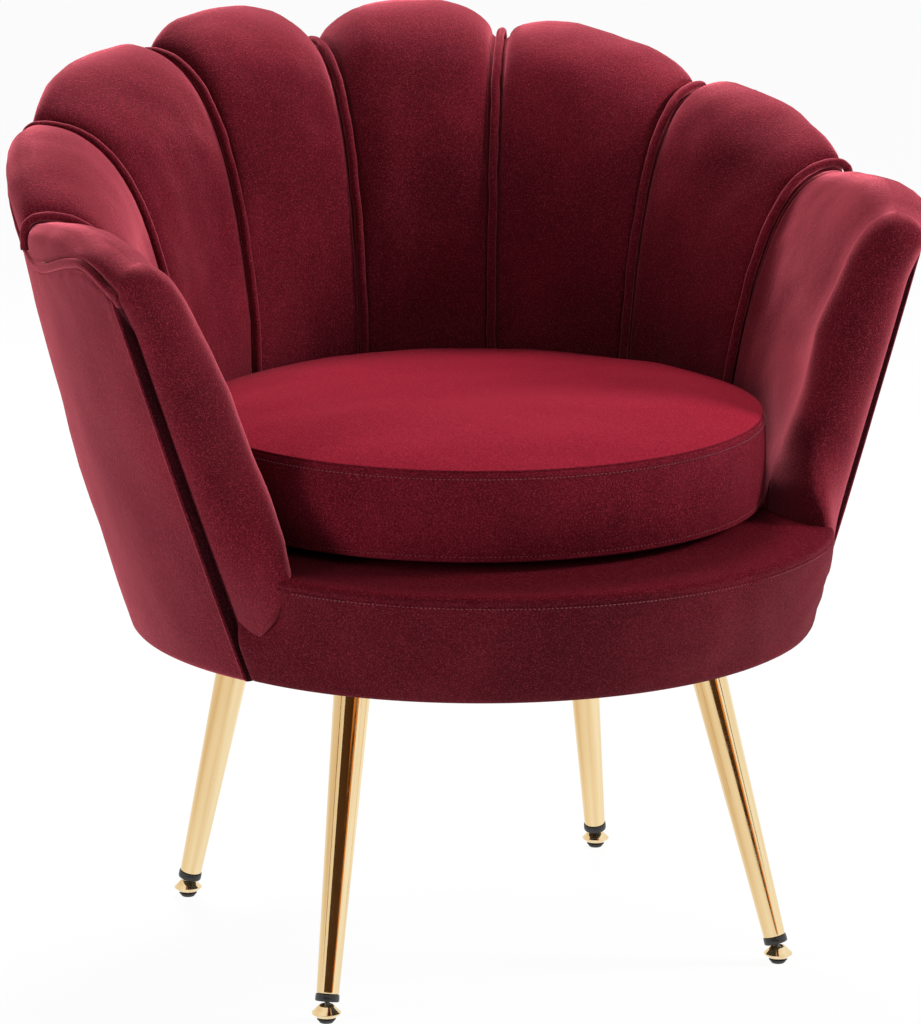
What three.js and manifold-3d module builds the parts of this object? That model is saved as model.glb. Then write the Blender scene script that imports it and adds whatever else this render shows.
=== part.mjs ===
// Scallop back chair: eight padded petals on a bent shell, a round base with a loose cushion, four legs.
// Millimetres, +Z up, floor at z = 0. The front faces -Y; +X is on the right of someone facing the chair.
import * as THREE from 'three';
import { mergeVertices } from 'three/addons/utils/BufferGeometryUtils.js';
import Module from 'manifold-3d';

// Fits
const fit = 0.3;               // gap between touching pieces
const padFit = 0.5;            // gap behind the petals
const deckFit = 0.8;           // gap between the base's cloth and the shell
const overrun = 20;            // how far a cutter runs past what it cuts

// Main sizes
const deckHeight = 379;        // top of the seat base above the floor
const bowlRadius = 249;        // inner face of the petals at the seat

// Seat base
const baseHeight = 96;         // from its underside to its top
const baseFootOut = 36;        // radius of its round plan at the foot beyond the bowl's
const deckOut = 41;            // radius of its round plan at the seam beyond the bowl's
const baseFootForward = 18;    // how far the foot circle lies in front of the seat axis
const deckForward = 51;        // how far the seam circle lies in front of the seat axis
const deckSeamRound = 7;       // rounding of the seam edge
const deckCloth = 6;           // wadding and velvet on the base

// Loose cushion
const cushionGap = 9;          // between its seams and the bowl
const cushionSide = 78;        // height of the side band
const cushionBulge = 3;        // how far the side band swells
const cushionCrown = 20;       // rise of the top above its seam
const cushionSag = 5;          // drop of the underside below its seam
const crownShare = 4;          // flatness of the top, higher is flatter
const sagShare = 6;            // and of the underside
const cushionForward = 7;      // how far the cushion sits in front of the seat axis
const cushionCloth = 2.5;      // velvet and lining
const zipLength = 300;
const zipWidth = 9;
const zipProud = 0.6;
const zipSlotDepth = 10;       // cut that lets the zip into the cover
const sliderLength = 12;
const sliderProud = 2.6;

// Petal section; depths are measured down from the rim, the rest outward from the bowl, with one
// value for each seam from the back centre and one for the arm's front
const leanStartDepth = 225;    // where the inner face starts to lean out
const leanStartOut = 2;
const flareDepth = 85;         // where the flare starts
const flareOuts = [22, 22, 22, 24, 44];
const lipOuts = [51, 51, 51, 54, 78];      // pull the flare over into the rim
const rimInset = 14;           // level top of the rim inside the cover's top
const curlOut = 20;            // outer curl past the rim
const petalGap = 0.5;          // between neighbouring petals at a seam

// Swell of the petals
const seatCrown = 3;           // at the seat
const lobeRises = [34, 27, 22, 22];  // at the rim, above the seams
const curlCrown = 4;           // at the end of the outer curl
const crownGrowthShare = 1.3;  // how the swell grows up the petal
const shoulderShare = 0.54;    // fullness of the scallop, lower is fuller
const edgeShares = [2, 2, 2, 3.8];  // powers of the scallop that the cover's edge behind it follows
const grooveDepth = 5;         // where the piping sits
const grooveWidth = 5.5;

// Seams, from the back centre to the arm, and their heights at the rim above the base
const petalAngles = [26.6, 28.6, 27.8];
const seamRises = [345, 349, 309, 261];
const armRise = 228;           // rim where the arm's front roll starts, before its swell
const armFacing = 114;         // direction that the arm's front face runs in, from the back centre
const armTopSetback = -129;    // y of the front edge of the outer cover at its top
const armFootSetback = -139;   // and at its foot

// Front roll of the arms
const rollReach = 30;          // how far the roll stands in front of the shell
const rollTopReach = 24;       // and at its top
const rollInset = 7;           // how far the roll's outer side stands inside the welt
const rollDrop = 43;           // lowest corner of the roll below the top of the base

// Outer cover, welt and shell
const coverDrop = 2;           // foot of the cover below the base
const coverFootOut = 40;       // foot of the cover outward from the bowl
const coverTopOuts = [137, 137, 137, 127, 124];  // its top, at the seams and the arm's front
const coverBow = 5;            // outward swell of the cover at half height
const coverThickness = 5;
const weltWidth = 8;
const weltProud = 2;
const weltDepth = 36;          // top edge of the cover below the seams at the rim
const weltLobes = [24, 22, 20, 49];  // how much that edge follows each scallop
const weltGap = 1.8;           // between the welt and the petals rolled over it
const weltCorner = 20;         // rounding of the welt at the top of the arm's front
const weltCornerShare = 0.25;  // of the last petal's width
const plyThickness = 14;

// Piping
const pipingRadius = 3.6;
const pipingProud = 1;
const pipingEndGap = 1.2;      // lower end above the welt

// Base frame
const boardThickness = 12;
const ringWidth = 28;
const ringHeight = 46;
const strapWidth = 50;
const strapThickness = 2;
const strapPitch = 95;
const strapCount = 5;
const blockLength = 58;
const blockWidth = 60;
const blockHeight = 40;
const dustThickness = 1;
const dustInset = 20;          // edge of the dust cover inside the foot circle

// Legs as [distance, degrees from the side towards the back]: feet outward from the bowl, tops inward
// from the base ring
const legPlans = {
  front: { foot: [29.2, -42.5], top: [36.9, -38.9] },
  back: { foot: [16.5, 42.1], top: [33.7, 40] },
};
const tubeTopRadius = 15.8;
const tubeEndRadius = 9.3;
const tubeWall = 1.2;
const plugLength = 18;
const studRadius = 4;
const studLength = 34;
const collarRadius = 10;
const collarHeight = 6.5;
const collarSpigot = 12;
const stemRadius = 2.2;
const stemLength = 45;
const ballRadius = 4.5;
const socketGap = 0.5;         // round the ball, so that it can turn in its disc
const ballHeight = 10.3;
const neckLength = 7;          // from the ball's centre to the end of the collar
const discRadius = 12;
const discTopRadius = 5.8;
const discFootRadius = 8;
const discHeight = 10.8;
const discRimHeight = 4.2;     // widest part above the disc's foot
const discRimWidth = 0.8;
const padRadius = 7.75;
const padHeight = 3.8;
const padChamfer = 0.5;

// Resolution
const petalSteps = 7;
const curlSteps = 3;
const rollSteps = 5;
const rollCapSteps = 2;        // section steps either side of the crest that close in its rounded end
const plainSteps = 2;
const wallSteps = 3;
const faceSteps = curlSteps + wallSteps + 1;  // puts the crest in the middle of a petal's section
const roundSides = 48;
const hiddenSides = 24;
const tubeSides = 20;
const smallSides = 12;
const cordSides = 8;
const cushionSteps = 4;
const coreSteps = 2;
const zipSteps = 8;
const ballSteps = 4;
const weldTolerance = 0.001;

// Sizes that follow from those above
const baseFoot = deckHeight - baseHeight;
const coverFoot = baseFoot - coverDrop;
const padFoot = deckHeight + fit;
const rollFoot = deckHeight - rollDrop;
const rimHeights = [...seamRises, armRise].map((rise) => deckHeight + rise);
const armHeight = rimHeights.at(-1);
const baseFootRadius = bowlRadius + baseFootOut;
const deckRadius = bowlRadius + deckOut;
const cushionRadius = bowlRadius - cushionGap;
const coverFootRadius = bowlRadius + coverFootOut;
const coverTopRadii = coverTopOuts.map((out) => bowlRadius + out);
const coverTopRadius = Math.max(...coverTopRadii);
const ringInnerRadius = coverFootRadius - coverThickness - plyThickness - deckCloth - ringWidth;
const clearSpan = 4 * coverTopRadius;   // size of a cutter that takes in the whole chair

// Finishes
const look = (color, roughness, metalness) => ({ color, roughness, metalness });
const velvet = look(0x8c1a30, 0.85, 0);
const velvetSide = look(0x7a1a2c, 0.85, 0);
const plywood = look(0xc9a26b, 0.7, 0);
const webbing = look(0x2a2a2a, 0.8, 0);
const foam = look(0xe8dfc0, 0.95, 0);
const dustCloth = look(0x151515, 0.95, 0);
const gold = look(0xd9a441, 0.15, 1);
const steel = look(0xb5b5b0, 0.35, 1);
const blackPlastic = look(0x121212, 0.45, 0);

const wasm = await Module();
wasm.setup();
const { lerp, degToRad } = THREE.MathUtils;
const upright = new THREE.Vector3(0, 0, 1);
const rightward = new THREE.Vector3(1, 0, 0);

// Closed meshes
function triangleMesh(points, triangles) {
  const geometry = new THREE.BufferGeometry().setFromPoints(points);
  geometry.setIndex(triangles.flat());
  return weld(geometry);
}

function weld(source) {
  const bare = new THREE.BufferGeometry();
  bare.setAttribute('position', source.getAttribute('position'));
  bare.setIndex(source.getIndex());
  const merged = mergeVertices(bare, weldTolerance);
  const index = Array.from(merged.getIndex().array);
  const kept = [];
  for (let i = 0; i < index.length; i += 3) {
    const [a, b, c] = index.slice(i, i + 3);
    if (a !== b && b !== c && c !== a) kept.push(a, b, c);
  }
  merged.setIndex(kept);
  return facingOut(merged);
}

function facingOut(geometry) {
  const position = geometry.getAttribute('position');
  const index = Array.from(geometry.getIndex().array);
  const corner = (i) => new THREE.Vector3().fromBufferAttribute(position, index[i]);
  let volume = 0;
  for (let i = 0; i < index.length; i += 3) {
    volume += corner(i).dot(corner(i + 1).cross(corner(i + 2)));
  }
  if (volume < 0) {
    for (let i = 0; i < index.length; i += 3) [index[i], index[i + 1]] = [index[i + 1], index[i]];
    geometry.setIndex(index);
  }
  return geometry;
}

// A skin over rings of points, closed by a cap at each end. Each quad is split along its shorter
// diagonal, so that neighbouring skins split alike.
function loft(rings, startCap = flatCap, endCap = flatCap) {
  const count = rings[0].length;
  const points = rings.flat();
  const triangles = [];
  for (let i = 0; i < rings.length - 1; i++) {
    for (let j = 0; j < count; j++) {
      const k = (j + 1) % count;
      const [a, b, c, d] = [i * count + j, i * count + k, (i + 1) * count + k, (i + 1) * count + j];
      if (points[a].distanceTo(points[c]) < points[b].distanceTo(points[d])) {
        triangles.push([a, b, c], [a, c, d]);
      } else {
        triangles.push([a, b, d], [b, c, d]);
      }
    }
  }
  for (const [a, b, c] of startCap(rings[0])) triangles.push([a, c, b]);
  const start = (rings.length - 1) * count;
  for (const cap of endCap(rings.at(-1))) triangles.push(cap.map((corner) => start + corner));
  return triangleMesh(points, triangles);
}

// Triangles across a flat ring, turning the way the ring runs
function flatCap(ring) {
  const normal = new THREE.Vector3();
  for (let i = 0; i < ring.length; i++) normal.add(ring[i].clone().cross(ring[(i + 1) % ring.length]));
  normal.normalize();
  const seed = Math.abs(normal.z) > 1 / 2 ? rightward : upright;
  const across = new THREE.Vector3().crossVectors(seed, normal).normalize();
  const along = new THREE.Vector3().crossVectors(normal, across);
  const outline = ring.map((point) => new THREE.Vector2(point.dot(across), point.dot(along)));
  return THREE.ShapeUtils.triangulateShape(outline, []);
}

// Triangles across a ring that runs up one side and back down the other
function ladderCap(ring) {
  const last = ring.length - 1;
  const triangles = [];
  for (let i = 0; i < (last - 1) / 2; i++) {
    triangles.push([i, i + 1, last - i - 1], [i, last - i - 1, last - i]);
  }
  return triangles;
}

// For an end ring that folds onto itself
const noCap = () => [];

function toSolid(geometry) {
  const welded = weld(geometry);
  return new wasm.Manifold(new wasm.Mesh({
    numProp: 3,
    vertProperties: Float32Array.from(welded.getAttribute('position').array),
    triVerts: Uint32Array.from(welded.getIndex().array),
  }));
}

function toGeometry(solid) {
  const { vertProperties, triVerts, numProp } = solid.getMesh();
  const points = [];
  for (let i = 0; i < vertProperties.length; i += numProp) {
    points.push(new THREE.Vector3(...vertProperties.slice(i, i + 3)));
  }
  const triangles = [];
  for (let i = 0; i < triVerts.length; i += 3) triangles.push(Array.from(triVerts.slice(i, i + 3)));
  return triangleMesh(points, triangles);
}

function cut(geometry, ...cutters) {
  return toGeometry(cutters.reduce((body, cutter) => body.subtract(toSolid(cutter)), toSolid(geometry)));
}

function join(...geometries) {
  return toGeometry(geometries.map(toSolid).reduce((body, other) => body.add(other)));
}

function common(geometry, other) {
  return toGeometry(toSolid(geometry).intersect(toSolid(other)));
}

function mirrored(geometry) {
  return facingOut(weld(geometry).scale(-1, 1, 1));
}

// A turned piece about +Z from [radius, height] points
function turned(outline, sides) {
  const points = outline.map(([radius, height]) => new THREE.Vector2(radius, height));
  return new THREE.LatheGeometry(points, sides).rotateX(Math.PI / 2);
}

function rod(radius, bottom, top, sides = smallSides) {
  return turned([[0, bottom], [radius, bottom], [radius, top], [0, top]], sides);
}

function slab(bottom, top) {
  return new THREE.BoxGeometry(clearSpan, clearSpan, top - bottom).translate(0, 0, (bottom + top) / 2);
}

// The shell's plan. Station 0 is the back centre, each seam is the next whole station and the last is
// the front edge of the arm; both halves are alike, so only the right one is described.
const lastSeam = petalAngles.length;
const armEnd = lastSeam + 1;

function between(table, station) {
  const low = Math.min(Math.floor(station), table.length - 2);
  return lerp(table[low], table[low + 1], station - low);
}

// Half of a piping groove as a share of its petal
function lipShare(petal) {
  return grooveWidth / (bowlRadius * degToRad(petalAngles[petal] ?? petalAngles.at(-1)));
}

// Swell across a petal from 0 at its grooves to 1; the last one stays full at the arm's front
function scallop(station) {
  const petal = Math.min(Math.floor(station), lastSeam);
  const lip = lipShare(petal);
  const end = petal < lastSeam ? 1 - lip : 2 - lip;
  const across = THREE.MathUtils.clamp((station - petal - lip) / (end - lip), 0, 1);
  return Math.pow(4 * across * (1 - across), shoulderShare);
}

const rimHeight = (station) => between(rimHeights, station);
const lobeRise = (station) => lobeRises[Math.min(Math.floor(station), lastSeam)];

function weltHeight(station) {
  const petal = Math.min(Math.floor(station), lastSeam);
  const corner = Math.max(1 - (armEnd - station) / weltCornerShare, 0);
  const lobe = weltLobes[petal] * Math.pow(scallop(station), edgeShares[petal]);
  return rimHeight(station) - weltDepth + lobe - weltCorner * corner * corner;
}

function wallRise(station, z) {
  return (z - coverFoot) / (rimHeight(station) - weltDepth - coverFoot);
}

// Straight wall that the shell and the cover's lining follow; the cover swells outside it
function wallRadius(station, z) {
  return lerp(coverFootRadius, between(coverTopRadii, station), wallRise(station, z));
}

function coverRadius(station, z) {
  const rise = wallRise(station, z);
  const bow = coverBow * Math.min(armEnd - station, 1);
  return wallRadius(station, z) + bow * 4 * rise * (1 - rise);
}

const coverLining = (station, z) => wallRadius(station, z) - coverThickness;
const shellOuter = (station, z) => coverLining(station, z) - padFit;
const shellInner = (station, z) => shellOuter(station, z) - plyThickness;

const seamAngle = (seam) => degToRad(petalAngles.slice(0, seam).reduce((sum, angle) => sum + angle, 0));

// Angle from the back centre; past the last seam the plan runs to the sloping front edge of the arm
function stationAngle(station, z, ahead) {
  const whole = Math.min(Math.floor(station), lastSeam);
  if (whole < lastSeam) return lerp(seamAngle(whole), seamAngle(whole + 1), station - whole);
  const setback = lerp(armFootSetback, armTopSetback, (z - coverFoot) / (armHeight - coverFoot));
  const edge = Math.acos((setback - ahead) / coverRadius(armEnd, z));
  return lerp(seamAngle(lastSeam), edge, station - lastSeam);
}

// A point at a radius; past the last seam the wall's thickness turns towards the arm's front
function wallPoint(station, radius, z, ahead = 0) {
  const angle = stationAngle(station, z, ahead);
  const past = Math.max(station - lastSeam, 0);
  const facing = past ? lerp(seamAngle(lastSeam), degToRad(armFacing), past) : angle;
  const cover = coverRadius(station, z);
  const inward = cover - radius;
  return new THREE.Vector3(
    cover * Math.sin(angle) - inward * Math.sin(facing),
    cover * Math.cos(angle) - inward * Math.cos(facing),
    z,
  );
}

// Stations across one petal, closer together near its seams
function petalStations(petal) {
  const lip = lipShare(petal);
  const stations = [petal, petal + lip];
  for (let i = 1; i < petalSteps - 1; i++) {
    const across = (1 - Math.cos((Math.PI * i) / (petalSteps - 1))) / 2;
    stations.push(petal + lerp(lip, petal < lastSeam ? 1 - lip : 1, across));
  }
  if (petal < lastSeam) stations.push(petal + 1 - lip);
  stations.push(petal + 1);
  return stations;
}

function halfStations() {
  const stations = [];
  for (let petal = 0; petal <= lastSeam; petal++) {
    stations.push(...petalStations(petal).slice(petal ? 1 : 0));
  }
  return stations;
}

function plainStations() {
  const stations = [];
  for (let i = 0; i <= plainSteps * armEnd; i++) stations.push(i / plainSteps);
  return stations;
}

// A wall all round the shell from its upright sections; the left half mirrors the right
function wallLoft(section, stations = halfStations()) {
  const right = stations.map((station) => section(station));
  const flip = (ring) => ring.map((point) => new THREE.Vector3(-point.x, point.y, point.z));
  const left = right.slice(1).reverse().map(flip);
  return loft([...left, ...right], ladderCap, ladderCap);
}

// Heights at which every wall has its corners, so that neighbouring walls share their facets
function wallLevels(station) {
  const levels = [coverFoot];
  for (let i = 0; i <= wallSteps; i++) levels.push(lerp(padFoot, weltHeight(station), i / wallSteps));
  return levels;
}

// A point on a wall, straight between its levels
function onWall(station, radius, z, ahead) {
  const levels = wallLevels(station);
  const low = levels.slice(1, -1).filter((level) => level <= z).length;
  const corner = (level) => wallPoint(station, radius(station, level), level, ahead);
  const share = (z - levels[low]) / (levels[low + 1] - levels[low]);
  return corner(levels[low]).lerp(corner(levels[low + 1]), share);
}

// An upright section between two radii that follow the cover
function wallSection(station, inner, outer, heights, ahead) {
  const up = heights.map((z) => onWall(station, inner, z, ahead));
  const down = heights.map((z) => onWall(station, outer, z, ahead)).reverse();
  return [...up, ...down];
}

// Petals
// The padded face of one upright section: each point has its outward direction and its swell
function faceSection(station) {
  const lobe = lobeRise(station);
  const rim = rimHeight(station);
  const welt = weltHeight(station);
  const end = coverRadius(station, welt) + weltProud;
  const level = between(coverTopRadii, station) - rimInset;
  const flare = new THREE.CubicBezierCurve(
    new THREE.Vector2(bowlRadius + leanStartOut, rim - leanStartDepth),
    new THREE.Vector2(bowlRadius + between(flareOuts, station), rim - flareDepth),
    new THREE.Vector2(bowlRadius + between(lipOuts, station), rim),
    new THREE.Vector2(level, rim),
  );
  const curl = new THREE.CubicBezierCurve(
    new THREE.Vector2(level, rim),
    new THREE.Vector2(level + curlOut, rim),
    new THREE.Vector2(end, lerp(rim, welt, 1 / 3)),
    new THREE.Vector2(end, welt + weltWidth + weltGap),
  );
  const inward = new THREE.Vector2(-1, 0);
  const points = [{ at: new THREE.Vector2(bowlRadius, padFoot), out: inward, swell: seatCrown }];
  const follow = (curve, share, swell) => {
    const along = curve.getTangent(share);
    points.push({ at: curve.getPoint(share), out: new THREE.Vector2(-along.y, along.x), swell });
  };
  for (let i = 0; i <= faceSteps; i++) {
    const share = i / faceSteps;
    follow(flare, share, lerp(seatCrown, lobe, Math.pow(share, crownGrowthShare)));
  }
  for (let i = 1; i <= curlSteps; i++) {
    const share = i / curlSteps;
    follow(curl, share, lerp(lobe, curlCrown, share));
  }
  return points;
}

// A closed section of a petal: up the face, over the rim, then down behind it against back(station, z)
function petalSection(station, groove, back, foot = padFoot) {
  const top = weltHeight(station) + weltWidth + weltGap;
  const ahead = weltWidth + fit;
  const face = faceSection(station).map(({ at, out, swell }) => {
    const lift = swell * scallop(station) - groove;
    return at.clone().addScaledVector(out, lift);
  });
  face[0].y = foot;
  face.at(-1).y = top;
  const behind = [foot, ...wallLevels(station).slice(2), top].reverse();
  return [
    ...face.map((point) => wallPoint(station, point.x, point.y, ahead)),
    ...behind.map((z) => onWall(station, back, z, ahead)),
  ];
}

const againstShell = (station, z) => shellInner(station, z) - padFit;

// Outer side of the front roll, behind a groove along the welt
const roundShell = (station, z) => coverRadius(station, z) + weltProud - rollInset;

function turnRing(ring, angle) {
  return ring.map((point) => point.clone().applyAxisAngle(upright, angle));
}

function petal(number) {
  const stations = petalStations(number);
  const halfGap = petalGap / 2 / bowlRadius;
  const rings = stations.map((station, i) => {
    const seamed = i === 0 || (station === number + 1 && number < lastSeam);
    return petalSection(station, seamed ? grooveDepth : 0, againstShell);
  });
  rings[0] = turnRing(rings[0], -halfGap);
  if (number < lastSeam) {
    rings.push(turnRing(rings.pop(), halfGap));
    return loft(rings);
  }
  return cut(loft([...rings, ...frontRoll()], flatCap, noCap), baseBody(fit));
}

// Sections that carry the arm's padding round the front edge of the shell, down to a line at its tip
function frontRoll() {
  const start = petalSection(armEnd, 0, roundShell, rollFoot);
  const crest = faceSteps + 1;
  const spine = start.map((point, i) => {
    const side = Math.max(Math.abs(i - crest), rollCapSteps);
    return start[crest - side].clone().lerp(start[crest + side], 1 / 2);
  });
  const facing = degToRad(armFacing);
  const ahead = new THREE.Vector3(Math.cos(facing), -Math.sin(facing), 0);
  const rings = [];
  for (let step = 0; step <= rollSteps; step++) {
    const turn = (Math.PI / 2) * (step / rollSteps);
    rings.push(start.map((point, i) => {
      const rise = (spine[i].z - rollFoot) / (spine[crest].z - rollFoot);
      const moved = spine[i].clone().lerp(point, Math.cos(turn));
      moved.addScaledVector(ahead, lerp(rollReach, rollTopReach, rise) * Math.sin(turn));
      moved.z += (padFoot - rollFoot) * (1 - rise) * Math.sin(turn);
      return moved;
    }));
  }
  return rings;
}

function piping(seam) {
  const angle = stationAngle(seam, padFoot, 0);
  const sideways = new THREE.Vector3(Math.cos(angle), -Math.sin(angle), 0);
  const ring = ({ at, out }) => {
    const points = [];
    for (let i = 0; i < cordSides; i++) {
      const turn = (2 * Math.PI * i) / cordSides;
      const centre = at.clone().addScaledVector(out, pipingProud + pipingRadius * Math.cos(turn));
      const point = wallPoint(seam, centre.x, centre.y);
      points.push(point.addScaledVector(sideways, pipingRadius * Math.sin(turn)));
    }
    return points;
  };
  const route = faceSection(seam);
  route.at(-1).at.y += pipingEndGap;
  return loft(route.map(ring));
}

// Outer cover, welt and plywood shell
function outerCover() {
  return wallLoft((station) => wallSection(station, coverLining, coverRadius, wallLevels(station), 0));
}

function plywoodShell() {
  const section = (station) => {
    const heights = [...wallLevels(station), weltHeight(station) + weltWidth];
    return wallSection(station, shellInner, shellOuter, heights, 0);
  };
  return wallLoft(section);
}

// One ring of the welt, its inner side on a given wall
function weltRing(station, inner, nearZ, farZ, nearAhead, farAhead) {
  const outer = (at, z) => coverRadius(at, z) + weltProud;
  return [
    onWall(station, inner, nearZ, nearAhead),
    onWall(station, outer, nearZ, nearAhead),
    onWall(station, outer, farZ, farAhead),
    onWall(station, inner, farZ, farAhead),
  ];
}

// Clear of the shell, so that its facets can bend round the corner
const weltLining = (station, z) => coverLining(station, z) + fit;

// The welt lies on the shell along the rim and covers the shell's edge down the front of the arm
function edgeWelt() {
  const right = halfStations().map((station) => {
    const top = weltHeight(station);
    return weltRing(station, weltLining, top + fit, top + weltWidth, fit, weltWidth);
  });
  const front = [...wallLevels(armEnd).slice(0, -1), weltHeight(armEnd) - weltWidth].reverse();
  for (const z of front) right.push(weltRing(armEnd, shellInner, z, z, fit, weltWidth));
  const flip = (ring) => ring.map((point) => new THREE.Vector3(-point.x, point.y, point.z));
  const left = right.slice(1).reverse().map(flip);
  return loft([...left, ...right]);
}

// Base. Its plan drifts forward with height, so it is a stack of circles rather than a turned piece
function circle(radius, forward, z) {
  const ring = [];
  for (let i = 0; i < roundSides; i++) {
    const angle = (2 * Math.PI * i) / roundSides;
    ring.push(new THREE.Vector3(radius * Math.cos(angle), radius * Math.sin(angle) - forward, z));
  }
  return ring;
}

function baseBody(grow, foot = baseFoot - grow) {
  const level = (z, inset) => {
    const rise = (z - baseFoot) / (deckHeight - baseFoot);
    const radius = lerp(baseFootRadius, deckRadius, rise) - inset;
    return circle(radius + grow, lerp(baseFootForward, deckForward, rise), z);
  };
  const seam = deckHeight + grow;
  return loft([
    level(foot, 0),
    level(seam - deckSeamRound, 0),
    level(seam - deckSeamRound / 4, deckSeamRound / 4),
    level(seam, deckSeamRound),
  ]);
}

// The space that the shell, the cover and the welt take out of the base, plainer where it is hidden
function shellSpace(grow, hidden = false) {
  const inner = (station, z) => shellInner(station, z) - grow;
  const outer = () => coverTopRadius + overrun;
  const heights = [baseFoot - overrun, coverFoot, deckHeight + grow];
  const section = (station) => wallSection(station, inner, outer, heights, weltWidth + grow);
  return wallLoft(section, hidden ? plainStations() : halfStations());
}

// Everything inside the base's cloth at a given clearance
function baseInside(gap, bottom, top) {
  const inset = deckCloth + gap;
  const filled = cut(baseBody(-inset, baseFoot - overrun), shellSpace(inset + fit, true));
  return common(filled, slab(bottom, top));
}

function deckCover() {
  return cut(baseBody(0), shellSpace(deckFit), baseInside(0, baseFoot - overrun, deckHeight - deckCloth));
}

const boardFoot = baseFoot + fit;
const ringFoot = boardFoot + boardThickness + fit;
const webbingFoot = ringFoot + ringHeight + fit;
const webbingTop = webbingFoot + 2 * strapThickness;

const baseBoard = () => cut(baseInside(fit, boardFoot, boardFoot + boardThickness), ...studHoles());

function baseRing() {
  const middle = rod(ringInnerRadius, ringFoot - overrun, webbingFoot + overrun, roundSides);
  return cut(baseInside(fit, ringFoot, ringFoot + ringHeight), middle);
}

function seatWebbing() {
  const straps = [];
  for (let i = 0; i < strapCount; i++) {
    const offset = (i - (strapCount - 1) / 2) * strapPitch;
    const lower = new THREE.BoxGeometry(clearSpan, strapWidth, strapThickness + fit);
    straps.push(lower.translate(0, offset, webbingFoot + (strapThickness + fit) / 2));
    const upper = new THREE.BoxGeometry(strapWidth, clearSpan, strapThickness);
    straps.push(upper.translate(offset, 0, webbingTop - strapThickness / 2));
  }
  return common(join(...straps), baseInside(fit, webbingFoot - fit, webbingTop + fit));
}

const deckFoam = () => baseInside(fit, webbingTop + fit, deckHeight - deckCloth - fit);

const dustTop = baseFoot - fit;
const dustFoot = dustTop - dustThickness;

function dustCover() {
  const radius = coverFootRadius - coverThickness - plyThickness - dustInset;
  return cut(rod(radius, dustFoot, dustTop, roundSides), ...studHoles());
}

function cornerBlock(leg) {
  const block = new THREE.BoxGeometry(blockLength, blockWidth, blockHeight);
  const [x, y] = leg.top;
  block.rotateZ(Math.atan2(y, x));
  block.translate(x, y, ringFoot + blockHeight / 2);
  return cut(block, studHole(leg));
}

// Cushion; the outline is that of a round pad whose skin is moved in by inset
const cushionSeam = deckHeight + fit + cushionSag;
const bandMiddle = cushionSeam + cushionSide / 2;

function cushionOutline(inset, steps) {
  const radius = cushionRadius - inset;
  const low = cushionSeam + inset;
  const high = cushionSeam + cushionSide - inset;
  const outline = [[0, low - cushionSag]];
  for (let i = 1; i < steps; i++) {
    const share = Math.sin((Math.PI / 2) * (i / steps));
    outline.push([radius * share, low - cushionSag * (1 - Math.pow(share, sagShare))]);
  }
  for (let i = 0; i <= steps; i++) {
    const share = i / steps;
    outline.push([radius + cushionBulge * 4 * share * (1 - share), lerp(low, high, share)]);
  }
  for (let i = steps - 1; i >= 0; i--) {
    const share = Math.sin((Math.PI / 2) * (i / steps));
    outline.push([radius * share, high + cushionCrown * (1 - Math.pow(share, crownShare))]);
  }
  return outline;
}

function cushionPad(inset, steps, sides = roundSides) {
  return turned(cushionOutline(inset, steps), sides).translate(0, -cushionForward, 0);
}

// A curved strip on the cushion's back, spread about the angle at
function bandStrip(innerRadius, outerRadius, length, height, at = 0) {
  const spread = length / cushionRadius;
  const strip = new THREE.Shape();
  strip.absarc(0, 0, outerRadius, at - spread / 2, at + spread / 2, false);
  strip.absarc(0, 0, innerRadius, at + spread / 2, at - spread / 2, true);
  const settings = { depth: height, curveSegments: zipSteps, bevelEnabled: false };
  const body = new THREE.ExtrudeGeometry(strip, settings);
  return body.rotateZ(Math.PI / 2).translate(0, -cushionForward, bandMiddle - height / 2);
}

const bandRadius = cushionRadius + cushionBulge;
const zipInner = bandRadius - cushionCloth;
const zipOuter = bandRadius + zipProud;

function cushionCover() {
  const slot = bandStrip(bandRadius - zipSlotDepth, zipOuter + overrun, zipLength, zipWidth);
  return cut(cushionPad(0, cushionSteps), cushionPad(cushionCloth, coreSteps, hiddenSides), slot);
}

const cushionZip = () => bandStrip(zipInner, zipOuter, zipLength - 2 * fit, zipWidth - 2 * fit);

function zipSlider() {
  const end = (zipLength - 2 * sliderLength) / cushionRadius / 2;
  return bandStrip(zipOuter + fit, zipOuter + sliderProud, sliderLength, zipWidth, end);
}

// Legs; a leg's own frame has the ball of its glide at the origin and +Z up the leg
function legFrame({ foot, top }) {
  const ball = new THREE.Vector3(...foot, ballHeight);
  const direction = new THREE.Vector3(...top, baseFoot).sub(ball).normalize();
  const turn = new THREE.Quaternion().setFromUnitVectors(upright, direction);
  const place = new THREE.Matrix4().compose(ball, turn, new THREE.Vector3(1, 1, 1));
  return { ball, direction, turn, place };
}

const tubeStart = neckLength + collarHeight;
const legTop = dustFoot - fit;
const legLength = ({ direction }) => (legTop - ballHeight) / direction.z;

function tubeRadius(along, length) {
  return lerp(tubeEndRadius, tubeTopRadius, (along - tubeStart) / (length - tubeStart));
}

function legTube(leg) {
  const frame = legFrame(leg);
  const length = legLength(frame);
  const end = length + overrun;
  const top = tubeRadius(end, length);
  const tube = turned([
    [tubeEndRadius, tubeStart], [top, end], [top - tubeWall, end],
    [tubeEndRadius - tubeWall, tubeStart], [tubeEndRadius, tubeStart],
  ], tubeSides);
  return cut(tube.applyMatrix4(frame.place), slab(legTop, legTop + clearSpan));
}

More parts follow.
